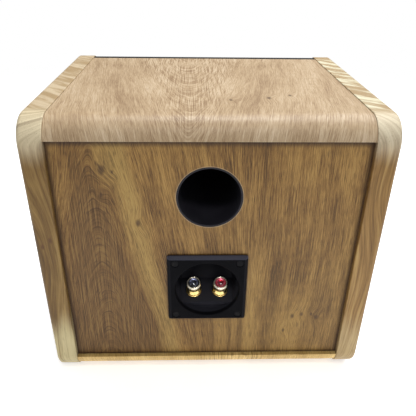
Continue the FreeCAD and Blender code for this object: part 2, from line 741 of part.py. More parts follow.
def make_post(colour, side):
    """One binding post: stud and collar, clamp washer, screw cap with its insert, tag and nut."""
    stud = turned(f"post_{colour}", [
        ("0", "-stud_tail"),
        ("stud_radius", "-stud_tail"),
        ("stud_radius", "0"),
        ("collar_radius", "0"),
        ("collar_radius", "collar_thickness"),
        ("stud_radius", "collar_thickness"),
        ("stud_radius", "stud_length"),
        ("0", "stud_length"),
    ])
    wire = new_sketch(stud, "XZ_Plane", "-stud_length")
    circles(wire, [("0", "cap_base + wire_hole_radius + wire_hole_gap")], "wire_hole_radius")
    pocket(stud, wire, "2 * stud_length", reverse=True)
    bore = "stud_radius + thread_clearance"
    low = "collar_thickness + face_gap"
    washer = turned(f"clamp_washer_{colour}", [
        (bore, low), ("washer_radius", low),
        ("washer_radius", f"{low} + washer_thickness"), (bore, f"{low} + washer_thickness"),
    ])
    top = "cap_base + cap_height"
    cap = turned(f"cap_{colour}", [
        (bore, "cap_base"),
        ("cap_skirt_radius", "cap_base"),
        ("cap_skirt_radius", "cap_base + skirt_height"),
        ("cap_waist_radius", "cap_base + waist_start"),
        ("cap_waist_radius", "cap_base + waist_end"),
        ("cap_head_radius", "cap_base + head_start"),
        ("cap_head_radius", f"{top} - head_edge"),
        ("cap_head_radius - head_edge", top),
        ("insert_radius", top),
        ("insert_radius", f"{top} - insert_seat"),
        ("0", f"{top} - insert_seat"),
        ("0", f"{top} - insert_seat - insert_floor"),
        (bore, f"{top} - insert_seat - insert_floor"),
    ])
    dome = "((insert_radius^2 + insert_rise^2) / (2 * insert_rise))"
    insert = turned(f"cap_insert_{colour}", [
        ("0", f"{top} - insert_seat"),
        ("insert_radius", f"{top} - insert_seat"),
        ("insert_radius", top, dome, "0", f"{top} + insert_rise - {dome}", "ccw"),
        ("0", f"{top} + insert_rise"),
    ])
    tag = new_body(f"solder_tag_{colour}")
    flat = new_sketch(tag, "XY_Plane", "-platform_thickness - tag_thickness")
    circles(flat, [("0", "0")], "tag_radius")
    circles(flat, [("0", "0")], "stud_radius")
    pad(tag, flat, "tag_thickness")
    tab = new_sketch(tag, "XY_Plane", "-platform_thickness - tag_thickness")
    outline(tab, rectangle(f"-({side}) * tag_radius * 0.8", "-tag_width / 2",
                           f"-({side}) * tag_length", "tag_width / 2"))
    pad(tag, tab, "tag_thickness")
    nut = new_body(f"post_nut_{colour}")
    hexagon = new_sketch(nut, "XY_Plane", "-platform_thickness - tag_thickness - nut_thickness")
    outline(hexagon, ring_points(6, "nut_flats / sqrt(3)", 30))
    circles(hexagon, [("0", "0")], "stud_radius")
    pad(nut, hexagon, "nut_thickness")
    for piece in (stud, washer, cap, insert, tag, nut):
        set_post_place(piece, side)


# ---------------------------------------------------------------- woofer

def woofer_piece(label, corners):
    """A turned woofer piece, its section given as (radius, depth behind the baffle's face)."""
    piece = turned(label, corners, "XY_Plane")
    place(piece, "0", "baffle_front", "woofer_level")
    return piece


def make_basket():
    outer_ledge = "ledge_outer + basket_wall"
    basket = woofer_piece("woofer_basket", [
        ("landing_radius", "0"),
        ("basket_radius", "0"),
        ("basket_radius", "flange_thickness"),
        ("neck_radius", "flange_thickness"),
        ("neck_radius", "flange_thickness * 2"),
        (outer_ledge, "ledge_depth + ledge_rib"),
        ("ledge_inner + ledge_rib", "ledge_depth + ledge_rib"),
        ("magnet_radius", "basket_depth"),
        ("former_radius + coil_wall + gap_clearance", "basket_depth"),
        ("former_radius + coil_wall + gap_clearance", "basket_depth - basket_wall"),
        ("magnet_radius - basket_wall", "basket_depth - basket_wall"),
        ("ledge_inner", "ledge_depth"),
        ("ledge_outer", "ledge_depth"),
        ("landing_radius", "flange_thickness * 2 - landing_step / 2"),
    ])
    window = new_sketch(basket, "XZ_Plane")
    circles(window, ring_points(1, "window_circle", DRIVER_SCREW_START), "window_radius")
    first = pocket(basket, window)
    polar(basket, first, WINDOW_COUNT, "Y_Axis")
    bores = new_sketch(basket, "XZ_Plane")
    circles(bores, ring_points(DRIVER_SCREW_COUNT, "driver_screw_circle", DRIVER_SCREW_START), "screw_shank")
    pocket(basket, bores)
    sinks = new_sketch(basket, "XZ_Plane")
    circles(sinks, ring_points(DRIVER_SCREW_COUNT, "driver_screw_circle", DRIVER_SCREW_START), "screw_head")
    pocket(basket, sinks, "screw_head_height")


def make_moving_parts():
    lip = "cone_radius - cone_lip"
    woofer_piece("cone", [
        ("cone_radius", "0"),
        ("cone_radius", "cone_rim"),
        (f"{lip} + cone_lap", "cone_rim"),
        ("former_radius", "cone_depth + cone_throat"),
        ("former_radius", "cone_depth"),
        (lip, "0"),
    ])
    slope = f"(cone_depth / ({lip} - former_radius))"
    rim = f"(({lip} - cap_base_radius) * {slope})"
    sphere = "((cap_base_radius^2 + cap_rise^2) / (2 * cap_rise))"
    inner = f"({sphere} - cap_wall)"
    middle = f"({rim} - cap_rise + {sphere})"
    edge = f"sqrt({inner}^2 - ({sphere} - cap_rise)^2)"
    woofer_piece("dust_cap", [
        ("0", f"{rim} - cap_rise", sphere, "0", middle, "ccw"),
        ("cap_base_radius", rim),
        (edge, rim, inner, "0", middle, "cw"),
        ("0", f"{rim} - cap_rise + cap_wall"),
    ])
    inside = "former_radius - former_wall"
    woofer_piece("coil_former", rectangle(inside, "cone_depth - former_lap", "former_radius", "former_end"))
    low = "coil_middle - coil_height / 2"
    woofer_piece("voice_coil", rectangle("former_radius", low, "former_radius + coil_wall",
                                         f"{low} + coil_height"))


def make_suspension():
    """The half-roll surround at the cone's rim and the waved spider on the coil former."""
    middle = "(landing_radius - roll_seat + cone_radius) / 2"
    inner = "(roll_radius - roll_wall)"
    woofer_piece("surround", [
        ("cone_radius - cone_lip + cone_lap", "0"),
        ("cone_radius - cone_lip + cone_lap", "-roll_wall"),
        (f"{middle} - roll_radius", "-roll_wall", "roll_radius", middle, "-roll_wall", "cw"),
        (f"{middle} + roll_radius", "-roll_wall"),
        ("landing_radius + ring_width", "-roll_wall"),
        ("landing_radius + ring_width", "0"),
        (f"{middle} + {inner}", "0"),
        (f"{middle} + {inner}", "-roll_wall", inner, middle, "-roll_wall", "ccw"),
        (f"{middle} - {inner}", "-roll_wall"),
        (f"{middle} - {inner}", "0"),
    ])
    start = "(former_radius + spider_start)"
    step = f"((ledge_inner - spider_seat - {start}) / {2 * SPIDER_WAVES})"
    near = [("former_radius", "ledge_depth - spider_wall"), (start, "ledge_depth - spider_wall")]
    for i in range(1, 2 * SPIDER_WAVES):
        lift = "-spider_wave" if i % 2 else "spider_wave"
        near.append((f"{start} + {i} * {step}", f"ledge_depth - spider_wall + ({lift})"))
    near.append(("ledge_inner - spider_seat", "ledge_depth - spider_wall"))
    near.append(("ledge_outer - spider_seat", "ledge_depth - spider_wall"))
    far = [(x, f"{y} + spider_wall") for x, y in reversed(near)]
    woofer_piece("spider", near + far)
    ring = rectangle("landing_radius + roll_seat / 2", "-roll_wall - ring_thickness",
                     "landing_radius + ring_width", "-roll_wall")
    woofer_piece("woofer_ring", ring)


def make_motor():
    gap = "former_radius + coil_wall + gap_clearance"
    low = "basket_depth"
    high = f"{low} + plate_height"
    back = f"{high} + magnet_height"
    woofer_piece("top_plate", rectangle(gap, low, "plate_radius", high))
    woofer_piece("magnet", rectangle("magnet_bore", high, "magnet_radius", back))
    pole = "former_radius - former_wall - gap_clearance"
    woofer_piece("yoke", [
        ("0", low), (pole, low), (pole, back), ("plate_radius", back),
        ("plate_radius", f"{back} + plate_height"), ("0", f"{back} + plate_height"),
    ])


def make_woofer_fittings():
    """The screws in the flange and the two-way connection strip under the basket's throat."""
    spots = [(x, "baffle_front", z) for x, z in driver_screw_spots()]
    screws("woofer_screws", spots, "baffle_thickness + driver_screw_grip", TO_FRONT)
    top = "woofer_level - magnet_radius + strip_seat"
    block = primitive("Box", "StripBlock", {
        "Length": "strip_width", "Width": "basket_depth - ledge_depth - ledge_rib - 2 * strip_gap",
        "Height": "strip_drop"},
        ("-strip_width / 2", "baffle_front + ledge_depth + ledge_rib + strip_gap", f"{top} - strip_drop"))
    throat = primitive("Cone", "Throat", {
        "Radius1": "ledge_inner + ledge_rib", "Radius2": "magnet_radius",
        "Height": "basket_depth - ledge_depth - ledge_rib"},
        ("0", "baffle_front + ledge_depth + ledge_rib", "woofer_level"), TO_REAR)
    keep(combine("Cut", "woofer_terminals", (block, throat)), "woofer_terminals")


# ---------------------------------------------------------------- grille

def make_grille():
    """A cloth-covered frame that plugs into the baffle on four pegs."""
    frame = new_body("grille_frame")
    section = new_sketch(frame, "YZ_Plane")
    width = "inner_width - 2 * (grille_side_gap + cloth_thickness)"
    radius = "(shell_radius - cloth_thickness)"
    low = "foot_height + cloth_thickness"
    high = "shell_top - cloth_thickness"
    fall = drop("frame_back", radius)
    profile = [
        ("frame_back", f"{low} + {fall}", radius, "arc_front", "arc_bottom", "cw"),
        ("frame_front", "arc_bottom"),
        ("frame_front", "arc_top", radius, "arc_front", "arc_top", "cw"),
        ("frame_back", f"{high} - {fall}"),
    ]
    outline(section, profile)
    pad(frame, section, width, midplane=True)
    window = new_sketch(frame, "XZ_Plane", "-frame_front")
    outline(window, window_corners())
    pocket(frame, window)
    holes = new_sketch(frame, "XZ_Plane", "-frame_back")
    circles(holes, peg_spots(), "peg_radius")
    pocket(frame, holes, "peg_head", reverse=True)
    whole = doc.addObject("PartDesign::Body", "ClothOutside")
    outer = new_sketch(whole, "YZ_Plane")
    fall = drop("frame_back", "shell_radius")
    outline(outer, [
        ("frame_back", f"foot_height + {fall}", "shell_radius", "arc_front", "arc_bottom", "cw"),
        ("grille_front", "arc_bottom"),
        ("grille_front", "arc_top", "shell_radius", "arc_front", "arc_top", "cw"),
        ("frame_back", f"shell_top - {fall}"),
    ])
    pad(whole, outer, "inner_width - 2 * grille_side_gap", midplane=True)
    core = doc.addObject("PartDesign::Body", "ClothInside")
    inner = new_sketch(core, "YZ_Plane")
    outline(inner, profile)
    pad(core, inner, width, midplane=True)
    keep(combine("Cut", "grille_cloth", (whole, core)), "grille_cloth")
    pegs = []
    sockets = []
    for x, z in peg_spots():
        pegs.append(primitive("Cylinder", "Peg", {"Radius": "peg_radius",
                                                  "Height": "peg_head + peg_length"},
                              (x, "frame_back - peg_head", z), TO_REAR))
        shell = primitive("Cylinder", "SocketShell", {"Radius": "socket_radius",
                                                      "Height": "socket_depth"},
                          (x, "baffle_front", z), TO_REAR)
        well = primitive("Cylinder", "SocketBore", {"Radius": "peg_radius + peg_clearance",
                                                    "Height": "socket_depth - socket_floor"},
                         (x, "baffle_front", z), TO_REAR)
        sockets.append(combine("Cut", "Socket", (shell, well)))
    keep(combine("Compound", "grille_pegs", pegs), "grille_pegs")
    keep(combine("Compound", "peg_sockets", sockets), "peg_sockets")


def window_corners():
    """The grille's opening: a rectangle with round corners, drawn with four arcs."""
    side = "(half_inner - grille_side_gap - cloth_thickness - grille_bar)"
    low = "(woofer_level - landing_radius - ring_width - grille_ring_gap)"
    high = "(woofer_level + landing_radius + ring_width + grille_ring_gap)"
    bend = "grille_window_radius"
    return [
        (f"-{side} + {bend}", low),
        (f"{side} - {bend}", low, bend, f"{side} - {bend}", f"{low} + {bend}", "ccw"),
        (side, f"{low} + {bend}"),
        (side, f"{high} - {bend}", bend, f"{side} - {bend}", f"{high} - {bend}", "ccw"),
        (f"{side} - {bend}", high),
        (f"-{side} + {bend}", high, bend, f"-{side} + {bend}", f"{high} - {bend}", "ccw"),
        (f"-{side}", f"{high} - {bend}"),
        (f"-{side}", f"{low} + {bend}", bend, f"-{side} + {bend}", f"{low} + {bend}", "ccw"),
    ]


# ---------------------------------------------------------------- low-pass network and wiring

def make_network():
    """A small board on standoffs with an air-core coil and a film capacitor."""
    board = new_body("crossover_board")
    flat = new_sketch(board, "XY_Plane", "board_level")
    half_x = "board_length / 2"
    half_y = "board_width / 2"
    outline(flat, rectangle(f"-{half_x}", f"board_y - {half_y}", half_x, f"board_y + {half_y}"))
    circles(flat, board_screw_spots(), "screw_shank")
    pad(board, flat, "board_thickness")
    posts = []
    for x, y in board_screw_spots():
        post = primitive("Cylinder", "Post", {"Radius": "standoff_radius", "Height": "standoff_height"},
                         (x, y, "ledge_level"))
        bore = primitive("Cylinder", "Bore", {"Radius": "screw_shank", "Height": "standoff_height"},
                         (x, y, "ledge_level"))
        posts.append(combine("Cut", "Standoff", (post, bore)))
    keep(combine("Compound", "crossover_standoffs", posts), "crossover_standoffs")
    deck = "board_level + board_thickness"
    spots = [(x, y, f"{deck} + screw_head_height") for x, y in board_screw_spots()]
    length = "board_thickness + standoff_height + screw_head_height + board_screw_grip"
    screws("crossover_screws", spots, length, UPRIGHT)
    bobbin = turned("inductor_bobbin", [
        ("bobbin_bore", "0"), ("bobbin_radius", "0"), ("bobbin_radius", "bobbin_flange"),
        ("bobbin_core", "bobbin_flange"), ("bobbin_core", "bobbin_height - bobbin_flange"),
        ("bobbin_radius", "bobbin_height - bobbin_flange"), ("bobbin_radius", "bobbin_height"),
        ("bobbin_bore", "bobbin_height"),
    ])
    winding = turned("inductor_winding", rectangle(
        "bobbin_core", "bobbin_flange", "winding_radius", "bobbin_height - bobbin_flange"))
    for piece in (bobbin, winding):
        place(piece, "coil_x", "board_y", deck)
    can = primitive("Cylinder", "capacitor", {"Radius": "can_radius", "Height": "can_length"},
                    ("can_start", "board_y", f"{deck} + can_radius"), TO_RIGHT)
    keep(can, "capacitor")


def pipe(label, points, radius):
    """A round wire along straight runs joined by arcs as large as the runs allow."""
    edges = []
    cursor = points[0]
    for i in range(1, len(points) - 1):
        corner = points[i]
        before = (points[i - 1] - corner)
        after = (points[i + 1] - corner)
        turn = math.pi - before.getAngle(after)
        setback = 0.45 * min(before.Length, after.Length)
        bend = setback / math.tan(turn / 2)
        into = before.normalize()
        out = after.normalize()
        first = corner + into * setback
        last = corner + out * setback
        bisector = (into + out).normalize()
        middle = corner + bisector * (math.hypot(bend, setback) - bend)
        edges.append(Part.LineSegment(cursor, first).toShape())
        edges.append(Part.Arc(first, middle, last).toShape())
        cursor = last
        print(f"{label}: bend radius {bend:.1f}")
    edges.append(Part.LineSegment(cursor, points[-1]).toShape())
    path = Part.Wire(edges)
    start = (points[1] - points[0]).normalize()
    section = Part.Wire(Part.makeCircle(radius, points[0], start))
    solid = path.makePipeShell([section], True, False)
    expected = math.pi * radius ** 2 * path.Length
    if abs(solid.Volume / expected - 1) > 0.02:
        raise ValueError(f"{label}: the sweep's volume is off")
    piece = doc.addObject("Part::Feature", label)
    piece.Shape = solid
    return keep(piece, label)


def make_wires():
    """Four leads: terminals to the board, and the board to the woofer."""
    deck = val("board_level + board_thickness")
    near = val("board_y + board_width / 2 - lead_inset")
    far = val("board_y - board_width / 2 + lead_inset")
    radius = val("wire_radius")
    tilt = math.radians(val("platform_angle"))
    under = val("platform_thickness + tag_thickness") + radius
    strip_y = val("baffle_front + basket_depth - strip_gap")
    strip_z = val("woofer_level - magnet_radius + strip_seat - strip_drop / 2")
    for colour, side in (("black", 1), ("red", -1)):
        x, y, z = (val(part) for part in post_origin(side))
        start = FreeCAD.Vector(x - side * val("tag_length - solder_lap"),
                               y - under * math.cos(tilt), z - under * math.sin(tilt))
        landing_x = side * val("lead_spread")
        pipe(f"wire_terminal_{colour}", [
            start,
            start + FreeCAD.Vector(0, -15, -3),
            start + FreeCAD.Vector(side * 8, -25, -24),
            FreeCAD.Vector(landing_x, near, deck + 20),
            FreeCAD.Vector(landing_x, near, deck),
        ], radius)
        strip_x = side * val("strip_width") / 4
        pipe(f"wire_woofer_{colour}", [
            FreeCAD.Vector(strip_x, strip_y, strip_z),
            FreeCAD.Vector(strip_x, strip_y + 24, strip_z),
            FreeCAD.Vector(strip_x * 2, strip_y + 50, strip_z - 20),
            FreeCAD.Vector(side * val("lead_spread - lead_gap"), far, deck + 22),
            FreeCAD.Vector(side * val("lead_spread - lead_gap"), far, deck),
        ], radius)


# ---------------------------------------------------------------- checks and export

def check_and_write():
    doc.recompute()
    for thing in doc.Objects:
        if "Invalid" in thing.State or "Error" in thing.State:
            raise ValueError(f"{thing.Name} ({thing.Label}) failed: {thing.State}")
    os.makedirs("parts", exist_ok=True)
    for thing in nodes:
        shape = thing.Shape
        if shape.isNull() or not shape.isValid() or not shape.Solids:
            raise ValueError(f"{thing.Label} has no valid solid")
        shape.exportStep(os.path.join("parts", thing.Label + ".step"))
    print(len(nodes), "nodes written")


fill_sheet()
make_cheek("cheek_left", -1)
make_cheek("cheek_right", 1)
make_shell()
make_dowels()
make_rear_panel()
make_baffle()
make_inner_timber()
make_damping_pad()
make_feet()
make_port()
make_terminal_cup()
make_terminal_trim()
make_post("black", 1)
make_post("red", -1)
make_basket()
make_moving_parts()
make_suspension()
make_motor()
make_woofer_fittings()
make_grille()
make_network()
make_wires()
check_and_write()
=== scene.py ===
"""Looks of a passive subwoofer cabinet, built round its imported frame.

Lengths in the sub-assemblies are millimetres in the frame of the part: +Z up, the grille faces -Y
and the terminals face +Y. Meshes are made in metres.
"""

import json
import logging
import math
from dataclasses import dataclass, field, replace
from enum import Enum
from typing import Iterable, Mapping, Sequence, Union

import bmesh
import bpy
from mathutils import Matrix, Vector, noise


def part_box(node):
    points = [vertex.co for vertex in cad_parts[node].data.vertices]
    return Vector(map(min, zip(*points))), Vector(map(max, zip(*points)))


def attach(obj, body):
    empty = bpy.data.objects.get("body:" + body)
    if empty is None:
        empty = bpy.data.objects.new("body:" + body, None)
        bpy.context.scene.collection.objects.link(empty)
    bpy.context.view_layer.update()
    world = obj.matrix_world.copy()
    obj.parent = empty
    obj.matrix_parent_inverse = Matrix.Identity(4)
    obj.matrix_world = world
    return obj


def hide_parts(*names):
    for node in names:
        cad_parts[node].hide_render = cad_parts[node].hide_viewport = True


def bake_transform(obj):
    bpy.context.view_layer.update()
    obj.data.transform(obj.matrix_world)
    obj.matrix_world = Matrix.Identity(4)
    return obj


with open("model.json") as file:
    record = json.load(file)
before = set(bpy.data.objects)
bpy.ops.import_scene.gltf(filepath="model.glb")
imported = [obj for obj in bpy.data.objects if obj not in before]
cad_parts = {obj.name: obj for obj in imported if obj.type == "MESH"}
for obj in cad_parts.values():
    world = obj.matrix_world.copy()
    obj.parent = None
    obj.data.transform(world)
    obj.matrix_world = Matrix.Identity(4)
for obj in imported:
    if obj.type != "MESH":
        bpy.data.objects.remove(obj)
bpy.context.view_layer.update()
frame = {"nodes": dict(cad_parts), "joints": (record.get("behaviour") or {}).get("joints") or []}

LOG = logging.getLogger("subwoofer")
MM = 0.001
ROUND = 96
CREASE = math.radians(34)

Colour = tuple[float, float, float, float]
Flat = tuple[float, float]


def tone(red: int, green: int, blue: int) -> Colour:
    """A paint chart's 0 to 255 colour as linear light.

    Args:
        red: Red, 0 to 255.
        green: Green, 0 to 255.
        blue: Blue, 0 to 255.

    Returns:
        The colour as linear light.
    """
    linear = []
    for part in (red, green, blue):
        share = part / 255
        linear.append(share / 12.92 if share <= 0.04045 else ((share + 0.055) / 1.055) ** 2.4)
    return (linear[0], linear[1], linear[2], 1.0)


# ---------------------------------------------------------------- nodes written as arithmetic


@dataclass(frozen=True)
class Signal:
    """One number, colour or vector in a finish's nodes, with arithmetic on numbers."""

    bench: "Bench"
    socket: bpy.types.NodeSocket

    def __add__(self, other: "Value") -> "Signal":
        """The sum."""
        return self.bench.maths("ADD", self, other)

    __radd__ = __add__

    def __sub__(self, other: "Value") -> "Signal":
        """The difference."""
        return self.bench.maths("SUBTRACT", self, other)

    def __rsub__(self, other: "Value") -> "Signal":
        """The difference from a plain number."""
        return self.bench.maths("SUBTRACT", other, self)

    def __mul__(self, other: "Value") -> "Signal":
        """The product."""
        return self.bench.maths("MULTIPLY", self, other)

    __rmul__ = __mul__

    def __truediv__(self, other: "Value") -> "Signal":
        """The quotient."""
        return self.bench.maths("DIVIDE", self, other)

    def __rtruediv__(self, other: "Value") -> "Signal":
        """A plain number over this one."""
        return self.bench.maths("DIVIDE", other, self)


Value = Union[Signal, float, Sequence[float]]


class Bench:
    """A material's nodes while a finish is being made."""

    def __init__(self, name: str) -> None:
        """Starts an empty material with one Principled shader.

        Args:
            name: The material's name.
        """
        self.material = bpy.data.materials.new(name)
        self.material.use_nodes = True
        self.tree = self.material.node_tree
        self.tree.nodes.clear()
        self.shader = self.tree.nodes.new("ShaderNodeBsdfPrincipled")
        output = self.tree.nodes.new("ShaderNodeOutputMaterial")
        self.tree.links.new(self.shader.outputs[0], output.inputs[0])

    def feed(self, socket: bpy.types.NodeSocket, value: Value) -> None:
        """Links a signal to a socket, or sets the socket's own value.

        Args:
            socket: The socket to fill.
            value: A signal, a number or a colour.
        """
        if isinstance(value, Signal):
            self.tree.links.new(value.socket, socket)
        else:
            socket.default_value = value

    def add(
        self,
        kind: str,
        settings: Mapping[str, object],
        inputs: Mapping[Union[str, int], Value],
        output: Union[str, int] = 0,
    ) -> Signal:
        """Adds one node.

        Args:
            kind: The node's type.
            settings: Its own settings, set first. "stops" fills a colour ramp.
            inputs: What its sockets get.
            output: The socket that comes back.

        Returns:
            The node's output.
        """
        node = self.tree.nodes.new(kind)
        for name, setting in settings.items():
            if name == "stops":
                self.fill_ramp(node.color_ramp, setting)
            else:
                setattr(node, name, setting)
        for key, value in inputs.items():
            self.feed(node.inputs[key], value)
        return Signal(self, node.outputs[output])

    @staticmethod
    def fill_ramp(ramp: bpy.types.ColorRamp, stops: Sequence[tuple[float, Colour]]) -> None:
        """Sets a ramp's stops, which come in order.

        Args:
            ramp: The ramp to fill.
            stops: Each stop as its place from 0 to 1 and its colour.
        """
        while len(ramp.elements) < len(stops):
            ramp.elements.new(1.0)
        for element, (position, colour) in zip(ramp.elements, stops):
            element.position = position
            element.color = colour

    def maths(self, operation: str, *values: Value) -> Signal:
        """A Math node on numbers."""
        return self.add("ShaderNodeMath", {"operation": operation}, dict(enumerate(values)))

    def spot(self) -> tuple[Signal, Signal, Signal]:
        """The surface point in the piece's own coordinates, in millimetres.

        Returns:
            The x, y and z signals.
        """
        raw = self.add("ShaderNodeTexCoord", {}, {}, "Object")
        scaled = self.add("ShaderNodeVectorMath", {"operation": "SCALE"}, {0: raw, "Scale": 1 / MM})
        parts = self.tree.nodes.new("ShaderNodeSeparateXYZ")
        self.feed(parts.inputs[0], scaled)
        x, y, z = (Signal(self, socket) for socket in parts.outputs)
        return x, y, z

    def vector(self, x: Value, y: Value, z: Value) -> Signal:
        """Three numbers as a vector."""
        return self.add("ShaderNodeCombineXYZ", {}, {0: x, 1: y, 2: z})

    def noise(self, point: Signal, detail: float = 2.0, rough: float = 0.5, scale: float = 1.0) -> Signal:
        """Smooth random numbers round 0.5.

        Args:
            point: Where to read them.
            detail: How many finer layers are added.
            rough: How strong the finer layers are.
            scale: How many patches there are per unit.

        Returns:
            The random number.
        """
        inputs = {"Vector": point, "Scale": scale, "Detail": detail, "Roughness": rough}
        return self.add("ShaderNodeTexNoise", {"noise_dimensions": "3D"}, inputs)

    def ease(self, value: Value, start: float, end: float, low: float = 0.0, high: float = 1.0) -> Signal:
        """A smooth step from low at start to high at end."""
        settings = {"interpolation_type": "SMOOTHSTEP"}
        return self.add("ShaderNodeMapRange", settings, {0: value, 1: start, 2: end, 3: low, 4: high})

    def ramp(self, value: Value, stops: Sequence[tuple[float, Colour]]) -> Signal:
        """A colour ramp."""
        return self.add("ShaderNodeValToRGB", {"stops": stops}, {0: value})

    def blend(self, share: Value, first: Value, second: Value, how: str = "MIX") -> Signal:
        """Two colours mixed.

        Args:
            share: How much of the second colour, from 0 to 1.
            first: The first colour.
            second: The second colour.
            how: The way they mix.

        Returns:
            The mixed colour.
        """
        settings = {"data_type": "RGBA", "blend_type": how}
        return self.add("ShaderNodeMix", settings, {0: share, 6: first, 7: second}, 2)

    def bump(self, height: Value, depth: float, strength: float = 1.0) -> Signal:
        """A normal from a height of 0 to 1 that stands for depth millimetres."""
        inputs = {"Height": height, "Distance": depth * MM, "Strength": strength}
        return self.add("ShaderNodeBump", {}, inputs)

    def corner_shade_mask(self, reach: float) -> Signal:
        """How deep a point sits in a corner, from 0 to 1, looking reach millimetres round it: the mask for painted
        corner shade.
        """
        open_sky = self.add("ShaderNodeAmbientOcclusion", {"samples": 8}, {"Distance": reach * MM}, "AO")
        return self.ease(open_sky, 0.92, 0.35)

    def finish(self, **sockets: Value) -> None:
        """Feeds the shader. A socket's name has _ for its spaces."""
        for name, value in sockets.items():
            self.feed(self.shader.inputs[name.replace("_", " ")], value)


MADE: dict[str, bpy.types.Material] = {}


@dataclass(frozen=True)
class Finish:
    """How a surface looks. Each kind adds its own sizes and nodes."""

    name: str

    def dress(self, bench: Bench) -> None:
        """Adds the finish's nodes to a new material."""
        raise NotImplementedError

    def material(self) -> bpy.types.Material:
        """The finish as a material, made once.

        Returns:
            The material.
        """
        if self.name not in MADE:
            bench = Bench(self.name)
            self.dress(bench)
            MADE[self.name] = bench.material
        return MADE[self.name]


# ---------------------------------------------------------------- finishes


class Run(Enum):
    """Which way a board's fibres run."""

    UPRIGHT = "upright"
    WRAPPED = "front to back and down over the edge"
    SIDEWAYS = "side to side"


@dataclass(frozen=True)
class Knot:
    """A small knot: where it is across and along the grain, its radius and how far it bends the grain."""

    across: float
    along: float
    radius: float
    push: float


@dataclass(frozen=True)
class CutEdge:
    """The pale rim of a round hole cut through a veneer."""

    x: float
    z: float
    radius: float
    width: float


